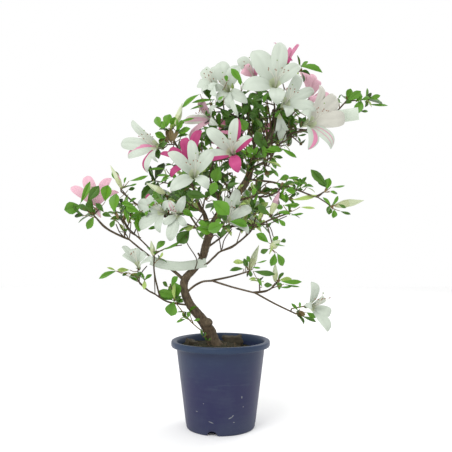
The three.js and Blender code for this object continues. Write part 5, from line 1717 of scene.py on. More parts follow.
def nodes_tree(name, inputs):
    """A Geometry Nodes tree. inputs names each size, with its socket type."""
    group = bpy.data.node_groups.new(name, "GeometryNodeTree")
    group.interface.new_socket(name="Geometry", in_out="INPUT", socket_type="NodeSocketGeometry")
    for label, kind in inputs.items():
        group.interface.new_socket(name=label, in_out="INPUT", socket_type="NodeSocket" + kind)
    group.interface.new_socket(name="Geometry", in_out="OUTPUT", socket_type="NodeSocketGeometry")
    tree = Tree(group)
    given = group.nodes.new("NodeGroupInput")
    wires = {socket.name: Wire(group, socket) for socket in given.outputs if socket.name}
    return group, tree, wires


def close_tree(group, tree, geometry, material):
    """Ends a tree in Realize Instances and Set Material."""
    real = tree.wire("GeometryNodeRealizeInstances", None, {"Geometry": geometry})
    dressed = tree.wire("GeometryNodeSetMaterial", None, {"Geometry": real, "Material": material})
    last = group.nodes.new("NodeGroupOutput")
    group.links.new(dressed.socket, last.inputs[0])


def named(tree, label, kind="FLOAT"):
    return tree.wire("GeometryNodeInputNamedAttribute", {"data_type": kind}, {"Name": label})


def kept(tree, geometry, label, value, kind="FLOAT"):
    """The geometry with a value kept on its points by name."""
    return tree.wire("GeometryNodeStoreNamedAttribute", {"data_type": kind},
                     {"Geometry": geometry, "Name": label, "Value": value})


def repeated(tree, points, shape, turn, size):
    """A small object put on every point."""
    instance = tree.wire("GeometryNodeObjectInfo", None, {"Object": shape}, 4)
    return tree.wire("GeometryNodeInstanceOnPoints", None, {
        "Points": points, "Instance": instance, "Rotation": turn, "Scale": size,
    })


def pushed(tree, geometry, offset):
    """The geometry with its points moved by an offset, and smooth."""
    moved = tree.wire("GeometryNodeSetPosition", None, {"Geometry": geometry, "Offset": offset})
    return tree.wire("GeometryNodeSetShadeSmooth", None, {"Geometry": moved})


print("steps of a tree:", kept.__name__, repeated.__name__, pushed.__name__)

# %% [markdown]
# A tree needs a mesh to run on. Most meshes here are only loose points with a row of values on
# each of them: one leaf, one pollen sac or one place along a limb.

# %% Carriers and what grows on them


def carrier(name, corners, edges, attributes):
    """A mesh of loose corners and edges that carries attributes for a nodes tree."""
    mesh = bpy.data.meshes.new(name)
    mesh.from_pydata((np.asarray(corners, float) * mm).tolist(), edges, [])
    for label, values in attributes.items():
        values = np.asarray(values, float)
        vector_like = values.ndim == 2
        layer = mesh.attributes.new(label, "FLOAT_VECTOR" if vector_like else "FLOAT", "POINT")
        layer.data.foreach_set("vector" if vector_like else "value", values.ravel())
    return mesh


def grown_piece(name, mesh, group, values):
    """Runs a tree on a mesh and keeps the plain mesh that comes out."""
    source = in_scene(name + "_source", mesh)
    modifier = source.modifiers.new("grown", "NODES")
    modifier.node_group = group
    for item in group.interface.items_tree:
        if item.in_out == "INPUT" and item.name in values:
            modifier[item.identifier] = values[item.name]
    view = bpy.context.evaluated_depsgraph_get()
    result = bpy.data.meshes.new_from_object(source.evaluated_get(view), depsgraph=view)
    bpy.data.objects.remove(source)
    result.name = name
    return in_scene(name, result)


print("rows of values go on points, and grown meshes come back")

# %% [markdown]
# The skin of a limb: its path becomes a curve, the curve gets a ring at even steps, a circle is
# swept along it at the limb's own radius, and noise that is stretched along the limb pushes the
# surface in and out. One tree does it for the trunk with fine rings and for twigs with coarse
# ones. The circle's own position rides along as `rim`, so that the noise closes round the limb.

# %% Skin of the limbs
bark_detail = 5.0
bark_roughness = 0.62


def build_skin_tree():
    group, tree, given = nodes_tree("limb_skin", {
        "Ring spacing": "Float", "Sides": "Int", "Furrows": "Float", "Grain": "Float",
        "Bark": "Material",
    })
    line = tree.wire("GeometryNodeMeshToCurve", None, {"Mesh": given["Geometry"]})
    line = tree.wire("GeometryNodeResampleCurve", {"mode": "LENGTH"},
                     {"Curve": line, "Length": given["Ring spacing"]})
    line = kept(tree, line, "run", tree.wire("GeometryNodeSplineParameter", None, None, 1))
    ring = tree.wire("GeometryNodeCurvePrimitiveCircle", {"mode": "RADIUS"},
                     {"Resolution": given["Sides"], "Radius": 1.0})
    ring = kept(tree, ring, "rim", tree.wire("GeometryNodeInputPosition"), "FLOAT_VECTOR")
    skin = tree.wire("GeometryNodeCurveToMesh", None, {
        "Curve": line, "Profile Curve": ring, "Scale": named(tree, "thick"), "Fill Caps": True,
    })
    along = named(tree, "run") * given["Grain"] + named(tree, "seed")
    lift = tree.wire("ShaderNodeCombineXYZ", None, {"Z": along})
    round_rim = tree.scaled(named(tree, "rim", "FLOAT_VECTOR"), given["Furrows"])
    noise = tree.wire("ShaderNodeTexNoise", None, {
        "Vector": tree.summed(round_rim, lift), "Scale": 1.0, "Detail": bark_detail,
        "Roughness": bark_roughness,
    })
    depth = (noise - 0.5) * named(tree, "relief")
    push = tree.scaled(tree.wire("GeometryNodeInputNormal"), depth)
    close_tree(group, tree, pushed(tree, skin, push), given["Bark"])
    return group


skin_tree = build_skin_tree()
print("skin tree", len(skin_tree.nodes), "nodes")

# %% [markdown]
# Thick limbs get many sides and fine rings, since their bark shows, and thin ones few. The
# furrows say how often the noise runs round the limb, and the grain how often along it.

# %% Limbs in their skins
skin_sizes = {
    "trunk": dict(spacing=1.1, sides=48, furrows=2.6, grain=120.0, bark=bark),
    "bough": dict(spacing=1.5, sides=18, furrows=1.6, grain=140.0, bark=bark),
    "twig": dict(spacing=3.0, sides=8, furrows=1.2, grain=200.0, bark=twig_bark),
    "shoot": dict(spacing=3.5, sides=6, furrows=1.0, grain=200.0, bark=shoot_bark),
    "filament": dict(spacing=4.0, sides=5, furrows=1.0, grain=100.0, bark=filament_finish),
}


def limb_carrier(kind):
    """The paths of all limbs of a kind, with radius, relief and seed at every point."""
    corners, edges, thick, relief, seeds = [], [], [], [], []
    for path, radii, depth, seed in skins[kind]:
        first = len(corners)
        corners += path.tolist()
        edges += [(first + i, first + i + 1) for i in range(len(path) - 1)]
        thick += (radii * mm).tolist()
        relief += (depth * mm).tolist()
        seeds += [seed] * len(path)
    return carrier(kind + "_paths", corners, edges, {"thick": thick, "relief": relief, "seed": seeds})


limb_pieces = {}
for kind, sizes in skin_sizes.items():
    limb_pieces[kind] = grown_piece(kind + "_skin", limb_carrier(kind), skin_tree, {
        "Ring spacing": sizes["spacing"] * mm, "Sides": sizes["sides"],
        "Furrows": sizes["furrows"], "Grain": sizes["grain"], "Bark": sizes["bark"],
    })
    print(kind, len(limb_pieces[kind].data.polygons), "faces")

# %% [markdown]
# One leaf stands for them all: a closed blade with a crease along its midrib, broadest a little
# past its middle, with a short point. It is one unit long and one unit broad, and has a few dozen
# faces, since it is repeated over a thousand times. Creases are marked sharp so that they catch
# the light.

# %% The leaf blade
leaf_stations = [(0.1, 0.07), (0.27, 0.26), (0.45, 0.42), (0.63, 0.5), (0.8, 0.41), (0.93, 0.17)]
blade_thickness = 0.016
blade_belly = 0.018
blade_around = 6
crease_corners = (0, 2, 4)


def leaf_blade():
    """A ring of six corners at each station, and a point at both ends."""
    corners = [(0, 0, 0)]
    for place, half in leaf_stations:
        belly = blade_belly * half * 2
        corners += [
            (place, -half, 0), (place, -half / 2, belly + blade_thickness / 2),
            (place, 0, blade_thickness / 2),
            (place, half / 2, belly + blade_thickness / 2), (place, half, 0),
            (place, 0, -blade_thickness / 2),
        ]
    corners.append((1, 0, 0))
    last = len(corners) - 1
    faces = ring_faces(len(leaf_stations), blade_around, 1, True)
    for k in range(blade_around):
        following = (k + 1) % blade_around
        faces.append((0, 1 + k, 1 + following))
        faces.append((last, last - blade_around + following, last - blade_around + k))
    return corners, faces


def template(name, corners, faces, creases, attributes):
    """A small mesh, hidden from the scene, that a tree repeats."""
    mesh = bpy.data.meshes.new(name)
    mesh.from_pydata(corners, [], faces, shade_flat=False)
    mark_sharp(mesh, creases)
    for label, values in attributes.items():
        layer = mesh.attributes.new(label, "FLOAT", "POINT")
        layer.data.foreach_set("value", np.asarray(values, float))
    return bpy.data.objects.new(name, mesh)


blade_corners, blade_faces = leaf_blade()
blade_creases = [0, len(blade_corners) - 1]
for ring in range(len(leaf_stations)):
    blade_creases += [1 + ring * blade_around + k for k in crease_corners]
blade = template("leaf_blade", blade_corners, blade_faces, blade_creases, {
    "along": [corner[0] for corner in blade_corners],
    "across": [abs(corner[1]) for corner in blade_corners],
})
print("leaf blade", len(blade_faces), "faces")

# %% [markdown]
# The leaf tree puts the blade on every row: it turns it so that it points forward with its face
# upward, stretches it to its length and breadth, and then bends it. Bending comes last, after the
# instances are real, because every leaf curls by its own amount.

# %% Leaves on their rows


def build_leaf_tree():
    group, tree, given = nodes_tree("leaf_whorls", {"Blade": "Object", "Finish": "Material"})
    forward = named(tree, "forward", "FLOAT_VECTOR")
    upward = named(tree, "upward", "FLOAT_VECTOR")
    turned = tree.wire("FunctionNodeAxesToRotation", {"primary_axis": "X", "secondary_axis": "Z"},
                       {"Primary Axis": forward, "Secondary Axis": upward})
    size, breadth = named(tree, "size"), named(tree, "breadth")
    scale = tree.wire("ShaderNodeCombineXYZ", None, {"X": size, "Y": size * breadth, "Z": size})
    leaves = repeated(tree, given["Geometry"], given["Blade"], turned, scale)
    leaves = tree.wire("GeometryNodeRealizeInstances", None, {"Geometry": leaves})
    along = named(tree, "along")
    bend = along * along * named(tree, "curl")
    raised = named(tree, "across") * breadth * named(tree, "fold")
    lift = tree.scaled(upward, (bend + raised) * size)
    beside = tree.wire("ShaderNodeVectorMath", {"operation": "CROSS_PRODUCT"},
                       {0: upward, 1: forward})
    sweep = tree.scaled(beside, along * along * named(tree, "sickle") * size)
    close_tree(group, tree, pushed(tree, leaves, tree.summed(lift, sweep)), given["Finish"])
    return group


def leaf_carrier(kind):
    """One point for each leaf of a kind, with its row of values."""
    foot, forward, upward, size, breadth, curl, fold, sickle = zip(*leaf_rows[kind])
    return carrier(kind + "_rows", foot, [], {
        "forward": forward, "upward": upward, "size": np.array(size) * mm,
        "breadth": breadth, "curl": curl, "fold": fold, "sickle": sickle,
    })


leaf_tree = build_leaf_tree()
leaf_finishes["scale"] = scale_finish
leaf_finishes["calyx"] = calyx_finish
leaf_pieces = {}
for kind in leaf_rows:
    leaf_pieces[kind] = grown_piece(kind + "_leaves", leaf_carrier(kind), leaf_tree, {
        "Blade": blade, "Finish": leaf_finishes[kind],
    })
    print(kind, len(leaf_rows[kind]), "leaves,", len(leaf_pieces[kind].data.polygons), "faces")

# %% [markdown]
# A petal's middle line climbs from the foot of the funnel, turns out at the throat and bends back
# at its tip. How far its outer part stands forward differs from bloom to bloom, so that part is
# turned about the throat. The petal is broadest past its middle, with a blunt tip.

# %% The line and breadth of a petal
petal_line = [  # out from the axis, as a share of the petal; forward, as a share of the radius
    (0.03, -0.64), (0.055, -0.5), (0.09, -0.34), (0.16, -0.17), (0.3, -0.02),
    (0.5, 0.08), (0.7, 0.1), (0.87, 0.05), (1.0, -0.06),
]
petal_pivot = 0.16
pivot_forward = -0.17
usual_lift = 18
petal_claw = 0.24
petal_fullness = 1.16
petal_bluntness = 0.7


def petal_outline(share):
    """Half the petal's breadth, as a share of the fullest, at each share of its middle line."""
    blade_share = np.clip((share - petal_claw) / (1 - petal_claw), 0, 1)
    swell = np.sin(math.pi * blade_share ** petal_fullness)
    return np.clip(swell, 0, 1) ** petal_bluntness


def lifted(out, forward, pivot, lift):
    """Turns the part of a petal's line beyond the throat forward by an angle."""
    beyond = np.maximum(out - pivot, 0)
    return out - beyond * (1 - math.cos(lift)), forward + beyond * math.sin(lift)


def lift_of(look):
    """How far the petals of a bloom stand forward."""
    return look.get("lift", usual_lift) * degree


print("half way out a petal has", round(float(petal_outline(0.5)), 2), "of its full breadth")

# %% [markdown]
# The portrait shows where each petal's tip is. The petal that reaches it is found by trying the
# bearings and lengths that a petal can have, and taking the one whose tip shows nearest.

# %% Aiming a petal
tried_bearings = np.arange(0, 360, 3)
tried_lengths = np.arange(0.35, 1.45, 0.025)


def aimed(bloom, across, down):
    """The bearing and length with which a petal's tip shows at a point of the portrait."""
    throat, facing, radius, look = bloom
    across_axis, upright = bloom_axes(facing)
    bearings, lengths = np.meshgrid(tried_bearings, tried_lengths)
    reach = radius * lengths
    out, forward = lifted(reach, pivot_forward * radius, petal_pivot * reach, lift_of(look))
    turned = bearings * degree
    tips = (throat + (out * np.cos(turned))[..., None] * across_axis
            + (out * np.sin(turned))[..., None] * upright + forward[..., None] * facing)
    shown = portrait_points(tips.reshape(-1, 3))
    misses = np.hypot(shown[:, 0] - across, shown[:, 1] - down)
    best = int(np.argmin(misses + np.abs(lengths.ravel() - 1)))
    return float(bearings.ravel()[best]), float(lengths.ravel()[best])


print("bearings tried", len(tried_bearings), "lengths tried", len(tried_lengths))

# %% [markdown]
# A petal is a grid of corners, whose rows lie closer together towards the tip. First, how far out
# and forward each row's middle lies: the line is walked evenly, lifted as the bloom's look says,
# and bent back at its end by an amount that differs from petal to petal.

# %% Rows of a petal
petal_rows = 19
petal_columns = 13
row_crowding = 1.35
line_steps = 64
recurve_start = 0.7
recurve_range = (0.9, 1.6)
row_shares = 1 - (1 - np.linspace(0, 1, petal_rows)) ** row_crowding
column_sides = np.linspace(-1, 1, petal_columns)


def petal_profile(radius, length, look, finer):
    """How far out from the axis each row's middle lies, and how far forward."""
    line = smooth_curve([(out, forward, 0) for out, forward in petal_line], line_steps)
    run = np.concatenate([[0], np.cumsum(np.linalg.norm(np.diff(line, axis=0), axis=1))])
    run /= run[-1]
    reach = radius * length
    out = np.interp(row_shares, run, line[:, 0]) * reach
    forward = np.interp(row_shares, run, line[:, 1]) * radius
    out, forward = lifted(out, forward, petal_pivot * reach, lift_of(look))
    beyond = np.maximum(row_shares - recurve_start, 0)
    forward = forward - beyond ** 2 * radius * mix(*recurve_range, finer())
    return out[:, None], forward[:, None]


print("petal grid", petal_rows, "by", petal_columns)

# %% [markdown]
# Near its foot a petal wraps round the bloom's axis, so that the five of them close the funnel,
# and further out it opens flat. There it has a groove down its middle, one edge over its
# neighbour and the other under, a slow wave along both, a little cup, and fine veins.

# %% The sheet of a petal
petal_half_width = 0.225
length_power = 0.35
breadth_range = (0.92, 1.08)
narrowest_half = 0.02
opening_start = 0.28
opening_length = 0.3
wrap_angle = 38
petal_groove = 0.13
groove_width = 0.2
petal_ruffle = 0.13
ruffle_waves = (5.5, 8.5)
ruffle_slant = 1.3
petal_cup = 0.14
petal_vein_depth = 0.16
edge_tilt = (0.06, 0.16)
petal_sway = 0.07


def petal_relief(half, finer):
    """How far an open petal stands off a flat one, at each corner of its grid."""
    phase, waves = finer() * round_turn, mix(*ruffle_waves, finer())
    tilt = mix(*edge_tilt, finer())
    groove = -petal_groove * np.exp(-(column_sides / groove_width) ** 2) * half
    wave = np.sin(row_shares[:, None] * waves + phase + column_sides * ruffle_slant)
    ruffle = wave * column_sides ** 2 * petal_ruffle * half
    cup = -petal_cup * column_sides ** 2 * half
    veins = petal_vein_depth * np.cos(column_sides * math.pi * (petal_columns - 1) / 2)
    return groove + ruffle + cup + tilt * (column_sides * half) + veins


def petal_grid(bloom, bearing, length, width, finer):
    """The corners of a petal's middle sheet, as rows from foot to tip."""
    throat, facing, radius, look = bloom
    out, forward = petal_profile(radius, length, look, finer)
    fullest = petal_half_width * width * radius * length ** length_power
    fullest *= mix(*breadth_range, finer())
    half = np.maximum(petal_outline(row_shares) * fullest, narrowest_half)[:, None]
    relief = petal_relief(half, finer)
    sway = (finer() - 0.5) * petal_sway * (radius * length)
    opened = np.clip((row_shares[:, None] - opening_start) / opening_length, 0, 1)
    opened = opened * opened * (3 - 2 * opened)
    wrap = column_sides * wrap_angle * degree
    flat_side = column_sides * half + sway * row_shares[:, None] ** 2
    outwards = mix(out * np.cos(wrap), out, opened)
    sideways = mix(out * np.sin(wrap), flat_side, opened)
    height = forward + opened * relief
    across, upright = bloom_axes(facing)
    turned = bearing * degree
    direct = across * math.cos(turned) + upright * math.sin(turned)
    beside = upright * math.cos(turned) - across * math.sin(turned)
    return (throat + outwards[..., None] * direct + sideways[..., None] * beside
            + height[..., None] * facing)


print("a petal wraps", wrap_angle, "degrees to either side")

# %% [markdown]
# Where a petal is rose or magenta is part of the flower, not of its surface: a stripe runs the
# length of the petal on one side of its middle, or half of it is coloured, or its edge or tip.
# So each face of the sheet is dealt one of the petal finishes by where it lies.

# %% Colours of a petal
petal_slots = {name: slot for slot, name in enumerate(petal_finishes)}
markings = {  # style: from which share of the length on, between which sides, and in which colour
    "magenta_half": (0.3, -1, -0.15, "magenta"),
    "magenta_edge": (0.38, -1, -0.45, "magenta"),
    "magenta_tip": (0.8, -1, 1, "magenta"),
    "pink_under": (0.3, 0.3, 1, "pink"),
    "rose_edge": (0.25, -1, -0.4, "rose"),
    "rose_half": (0.4, 0, 0.7, "rose"),
}
whole_styles = {  # style: the colour of its foot
    "magenta": "pink", "pink": "rose", "rose": "lilac", "lilac": "lilac", "dusk": "dusk",
    "shell": "shell",
}
coloured_foot = 0.3
throat_share = 0.36
vein_field = 0.52
pair_span = (0.35, 0.94)
pair_sides = (-0.25, 0.42)
stripe_half = 0.1


def petal_tone(style, share, side):
    """The finish at a share of the petal's length and a side from -1 to 1."""
    if style in whole_styles:
        return whole_styles[style] if share < coloured_foot else style
    if style == "veined":
        return "lilac" if abs(side) < vein_field and share > coloured_foot else "blush"
    if style == "rose_pair" and pair_span[0] < share < pair_span[1]:
        striped = any(abs(side - stripe) < stripe_half for stripe in pair_sides)
        return "rose" if striped else "white"
    if style in markings:
        first, low, high, tone = markings[style]
        if share > first and low <= side <= high:
            return tone
    if share < throat_share:
        return "throat"
    return "blush" if style == "blush" else "white"


print("coloured styles", [*markings, *whole_styles])

# %% [markdown]
# A thin sheet is closed like an envelope: the grid is there once for the face and once for the
# back, half the thickness to either side, and the two share their margin. The margin is marked
# as a crease, so that it doesn't shade round.

# %% Closed sheets


def closed_sheet(grid, thickness):
    """Face and back of a grid, sharing their margin. Gives corners, faces and margin corners."""
    rows, columns = grid.shape[:2]
    along = np.gradient(grid, axis=0)
    beside = np.gradient(grid, axis=1)
    normal = np.cross(along, beside)
    normal /= np.maximum(np.linalg.norm(normal, axis=2, keepdims=True), least_length)
    inner = np.zeros((rows, columns, 1))
    inner[1:-1, 1:-1] = thickness / 2
    face_side = (grid + normal * inner).reshape(-1, 3)
    back_side = (grid - normal * inner)[1:-1, 1:-1].reshape(-1, 3)
    face_index = np.arange(rows * columns).reshape(rows, columns)
    back_index = face_index.copy()
    back_index[1:-1, 1:-1] = rows * columns + np.arange((rows - 2) * (columns - 2)).reshape(
        rows - 2, columns - 2)
    faces = []
    for row in range(rows - 1):
        for column in range(columns - 1):
            cell = [(row, column), (row + 1, column), (row + 1, column + 1), (row, column + 1)]
            faces.append(tuple(int(face_index[c]) for c in cell))
            faces.append(tuple(int(back_index[c]) for c in reversed(cell)))
    rim = np.ones((rows, columns), bool)
    rim[1:-1, 1:-1] = False
    return np.vstack([face_side, back_side]), faces, face_index[rim].tolist()


def gather(pieces):
    """Joins (corners, faces, slots, rim) pieces into one set."""
    corners, faces, slots, rims, first = [], [], [], [], 0
    for part_corners, part_faces, part_slots, rim in pieces:
        corners.append(part_corners)
        faces += [tuple(index + first for index in face) for face in part_faces]
        slots += part_slots
        rims += [index + first for index in rim]
        first += len(part_corners)
    return np.vstack(corners), faces, slots, rims


print("a petal's closed sheet has", 2 * (petal_rows - 1) * (petal_columns - 1), "faces")

# %% [markdown]
# Now every bloom gets its petals. Blooms behind the plant have plain bearings and lengths, and
# the others are aimed petal by petal. They make two pieces, the petals in front and behind.

# %% Petals
sheet_thickness = 0.32
back_depth = 20
petal_seed = 77


def petal(bloom, bearing, length, style, width, finer):
    """One petal as a closed sheet, with a finish for each of its faces."""
    grid = petal_grid(bloom, bearing, length, width, finer)
    corners, faces, rim = closed_sheet(grid, sheet_thickness)
    slots = []
    for share in (row_shares[:-1] + row_shares[1:]) / 2:
        for side in (column_sides[:-1] + column_sides[1:]) / 2:
            slots += [petal_slots[petal_tone(style, share, side)]] * 2
    return corners, faces, slots, rim


petal_sets = {"front_petals": [], "back_petals": []}
finer = seeded(petal_seed)
for bloom in blooms:
    throat, _, _, look = bloom
    petals = petal_sets["back_petals" if throat[1] > back_depth else "front_petals"]
    for bearing, length, style in look.get("bearings", []):
        petals.append(petal(bloom, bearing, length, style, 1, finer))
    for across, down, style, width in look.get("petals", []):
        petals.append(petal(bloom, *aimed(bloom, across, down), style, width, finer))
petal_pieces = {}
for name, petals in petal_sets.items():
    corners, faces, slots, rim = gather(petals)
    petal_pieces[name] = made_mesh(name, corners, faces, list(petal_finishes.values()), slots, rim)
    print(name, len(petals), "petals,", len(faces), "faces")

# %% [markdown]
# A closed bud is its petals furled round each other: a spindle with five soft ridges that wind
# up to its point. Its foot is greener, and on some the tip already shows its colour.

# %% Buds
bud_rings = 18
bud_around = 30
bud_profile = [(0, 0.4), (0.12, 0.72), (0.3, 1.0), (0.5, 0.94), (0.7, 0.66), (0.86, 0.36), (1.0, 0.04)]
bud_bow = 0.18
furled_petals = 5
furl_height = 0.13
furl_winding = 2.2
bud_foot_share = 0.4
bud_tip_share = 0.5
bud_stripe_start = 0.3
bud_stripe_turns = (0.5, 0.7)
bud_stripe_winding = 0.35
bud_seed = 31


def bud_shape(foot, tip, radius, style, finer):
    """One bud as rings round its bowed axis, with a finish for each of its faces."""
    foot, tip = np.array(foot, float), np.array(tip, float)
    side, cross = crosswise(unit(tip - foot))
    bow = side * (finer() - 0.5) * np.linalg.norm(tip - foot) * bud_bow
    places, widths = zip(*bud_profile)
    corners = []
    for ring in range(bud_rings + 1):
        share = ring / bud_rings
        middle = foot + (tip - foot) * share + bow * math.sin(math.pi * share)
        for k in range(bud_around):
            angle = k / bud_around * 2 * math.pi
            furl = furl_height * math.cos(furled_petals * (angle - share * furl_winding))
            ridge = 1 + furl * math.sin(math.pi * share) ** 0.5
            wide = radius * np.interp(share, places, widths) * ridge
            corners.append(middle + (side * math.cos(angle) + cross * math.sin(angle)) * wide)
    faces = ring_faces(bud_rings + 1, bud_around)
    faces.append(tuple(range(bud_around))[::-1])
    faces.append(tuple(bud_rings * bud_around + k for k in range(bud_around)))
    slots = [petal_slots[bud_tone(style, ring / bud_rings, k / bud_around)]
             for ring in range(bud_rings) for k in range(bud_around)]
    slots += [petal_slots["cream"], slots[-1]]
    return np.array(corners), faces, slots, []


def bud_tone(style, share, turn):
    """The finish at a share of the bud's length and of the way round it."""
    if style == "rose_tip" and share > bud_foot_share:
        return "lilac" if share > bud_tip_share else "dusk"
    wound = (turn - share * bud_stripe_winding) % 1
    striped = share > bud_stripe_start and bud_stripe_turns[0] < wound < bud_stripe_turns[1]
    if style == "rose_stripe" and striped:
        return "rose"
    return "throat" if share > bud_foot_share else "cream"


finer = seeded(bud_seed)
bud_parts = []
for foot, tip, radius, *style in bud_rows:
    bud_parts.append(bud_shape(foot, tip, radius, style[0] if style else "white", finer))
corners, faces, slots, _ = gather(bud_parts)
bud_piece = made_mesh("furled_buds", corners, faces, list(petal_finishes.values()), slots)
print("buds", len(bud_parts), "faces", len(faces))

# %% [markdown]
# Pollen sacs and pistil heads are small beads, repeated from rows by a nodes tree. A bead is a
# spindle of three rings, since it is only a millimetre or two long.

# %% Beads on the filaments
bead_around = 6
bead_stations = [(-0.3, 0.8), (0.1, 1.0), (0.38, 0.7)]


def bead(name, length, thickness):
    """A small spindle of rings with a point at both ends. Its sizes are in millimetres."""
    corners = [(-length / 2, 0, 0)]
    for place, wide in bead_stations:
        for k in range(bead_around):
            angle = k * 2 * math.pi / bead_around
            corners.append((place * length, wide * thickness / 2 * math.cos(angle),
                            wide * thickness / 2 * math.sin(angle)))
    corners.append((length / 2, 0, 0))
    last = len(corners) - 1
    faces = ring_faces(len(bead_stations), bead_around, 1)
    for k in range(bead_around):
        following = (k + 1) % bead_around
        faces.append((0, 1 + following, 1 + k))
        faces.append((last, last - bead_around + k, last - bead_around + following))
    return template(name, corners, faces, [], {})


def build_bead_tree():
    group, tree, given = nodes_tree("beads", {"Bead": "Object", "Size": "Float", "Finish": "Material"})
    turned = tree.wire("FunctionNodeAxesToRotation", {"primary_axis": "X", "secondary_axis": "Z"},
                       {"Primary Axis": named(tree, "forward", "FLOAT_VECTOR")})
    size = tree.wire("ShaderNodeCombineXYZ", None, {axis: given["Size"] for axis in "XYZ"})
    beads = repeated(tree, given["Geometry"], given["Bead"], turned, size)
    beads = tree.wire("GeometryNodeSetShadeSmooth", None, {"Geometry": beads})
    close_tree(group, tree, beads, given["Finish"])
    return group


bead_tree = build_bead_tree()
bead_pieces = {}
for name, rows, shape, colour in (
    ("anthers", anther_rows, bead("anther_bead", 2.6, 1.5), anther_finish),
    ("pistil_heads", pistil_rows, bead("pistil_bead", 1.6, 2.0), pistil_finish),
):
    tips, directions = zip(*rows)
    mesh = carrier(name + "_rows", tips, [], {"forward": directions})
    bead_pieces[name] = grown_piece(name, mesh, bead_tree, {
        "Bead": shape, "Size": mm, "Finish": colour,
    })
    print(name, len(rows))

# %% [markdown]
# The pot is turned on a lathe, ring by ring, from its section: a foot pad, a moat, a skirt, a
# wall that leans outwards, a rolled lip and the inner wall. Each point of it becomes a ring.

# %% Section of the pot
pot_height = 130
lip_radius = 75
lip_height = 9
wall_top_radius = 67.2
wall_foot_radius = 51.9
wall_thickness = 2
inner_floor = 9
wall_rings = 22
inner_rings = 10


def pot_section():
    """The pot's section, from the middle of its foot out, up, over and down to its inner floor."""
    top = pot_height - lip_height
    slope = (wall_top_radius - wall_foot_radius) / top
    section = [(0, 0), (20, 0), (37.2, 0), (38, 0.4), (38.8, 2), (39.6, 6.4), (40.4, 7)]
    section += [(46.6, 7), (47.4, 6.4), (48, 2), (48.4, 0.5), (49.2, 0), (50.4, 0), (51.3, 0.5)]
    section += [(wall_foot_radius, 2), (wall_foot_radius + 0.4, 5)]
    for height in np.linspace(9, top - 12, wall_rings):
        section.append((wall_foot_radius + slope * height + 0.1, height))
    section += [(wall_foot_radius + slope * (top - 9), top - 9), (wall_top_radius - 0.7, top - 4)]
    section += [(wall_top_radius, top - 0.6), (wall_top_radius + 1.2, top), (lip_radius - 1.6, top)]
    section += [(lip_radius - 0.5, top + 0.4), (lip_radius, top + 1.6), (lip_radius + 0.15, top + 4.5)]
    section += [(lip_radius, pot_height - 2.2), (lip_radius - 0.6, pot_height - 0.7)]
    section += [(lip_radius - 2, pot_height), (lip_radius - 4.6, pot_height - 0.05)]
    section += [(lip_radius - 6.6, pot_height - 0.5), (lip_radius - 8, pot_height - 1.6)]
    section += [(lip_radius - 8.8, pot_height - 3.6), (wall_top_radius - wall_thickness, top - 1)]
    inner_foot = wall_foot_radius + slope * inner_floor - wall_thickness
    for share in np.linspace(0.1, 1, inner_rings):
        height = mix(top - 1, inner_floor, share)
        section.append((mix(wall_top_radius - wall_thickness, inner_foot, share), height))
    section += [(inner_foot - 3, inner_floor), (20, inner_floor), (0, inner_floor)]
    return section


print("rings of the pot", len(pot_section()))

# %% [markdown]
# Three drainage notches open the skirt at the pot's foot. There the low rings climb out of the
# way, the lowest most of all. Two fine seams of the mould run up the wall, one opposite the other.

# %% Rings, notches and seams
pot_around = 288
notch_radius = 8
notch_drop = 1.5
notch_turn = -103.3
notch_count = 3
notch_reach = 16
moat_radius = 46
seam_turn = 62
seam_width = 0.7
seam_height = 0.22
seam_least_radius = 50
seam_foot = 3


def notch_lift(angle, radius, height):
    """How high a low ring is lifted where a notch opens the skirt."""
    if radius < moat_radius or height > notch_reach:
        return 0.0
    nearest = min(abs((angle - notch_turn - i * 360 / notch_count + 180) % 360 - 180)
                  for i in range(notch_count))
    beside = nearest * degree * radius
    if beside >= notch_radius:
        return 0.0
    return max(0.0, math.sqrt(notch_radius ** 2 - beside ** 2) - notch_drop)


def over_notches(angle, radius, height):
    """The height of a ring at this angle, with the notches under it."""
    lift = notch_lift(angle, radius, height)
    if lift <= 0 or height >= notch_reach:
        return height
    return mix(lift, notch_reach, height / notch_reach)


def seam(angle, radius, height):
    """How far the seams of the mould stand out of the wall."""
    if radius <= seam_least_radius or height <= seam_foot:
        return 0
    return seam_height * math.exp(-(((angle + seam_turn) % 180 - 90) / seam_width) ** 2)


def turned_pot():
    """The section turned round the axis, with its notches and seams."""
    section = pot_section()
    corners = []
    for radius, height in section:
        for k in range(pot_around):
            angle = k * 360 / pot_around
            wide = radius + seam(angle, radius, height)
            corners.append((wide * math.cos(angle * degree), wide * math.sin(angle * degree),
                            over_notches(angle, radius, height)))
    return corners, ring_faces(len(section), pot_around)


print("notch", notch_radius * 2, "mm broad at its foot")

# %% [markdown]
# The pot is indigo plastic that has bleached towards teal in its upper third, with a worn ring
# below that, dust at its foot and a few pale scuffs in front. Its lip carries a painted highlight:
# a lighter teal where the light falls on the rolled rim. All of it depends on height or lies on
# the front, so it is worked out from the place on the pot.

# %% Bleached plastic
pot_scuffs = [  # x, z, half-length, half-height and slope of each scuff on the front, in mm
    (14.5, 27, 3.4, 0.9, 0.35), (17.8, 29.5, 1.6, 1.0, 0.6), (19.5, 20, 1.2, 0.8, 0.0),
    (-13.2, 20.5, 4.2, 0.7, -0.35), (31, 55.5, 0.8, 2.2, 0.0), (33, 41, 1.0, 0.7, 0.2),
    (-34, 34, 1.6, 0.6, -0.2), (-24, 47, 0.7, 0.7, 0.0),
]


def scuff_marks(x, y, z):
    """Between 0 and 1: high on the scuffs, which lie on the front only."""
    total = 0.0
    for place_x, place_z, half_length, half_height, slope in pot_scuffs:
        along = (x - place_x * mm) / (half_length * mm)
        aside = (z - place_z * mm - (x - place_x * mm) * slope) / (half_height * mm)
        total = (1.0 - along * along - aside * aside).held() + total
    return total * (0.0 - y * 1000.0).held()


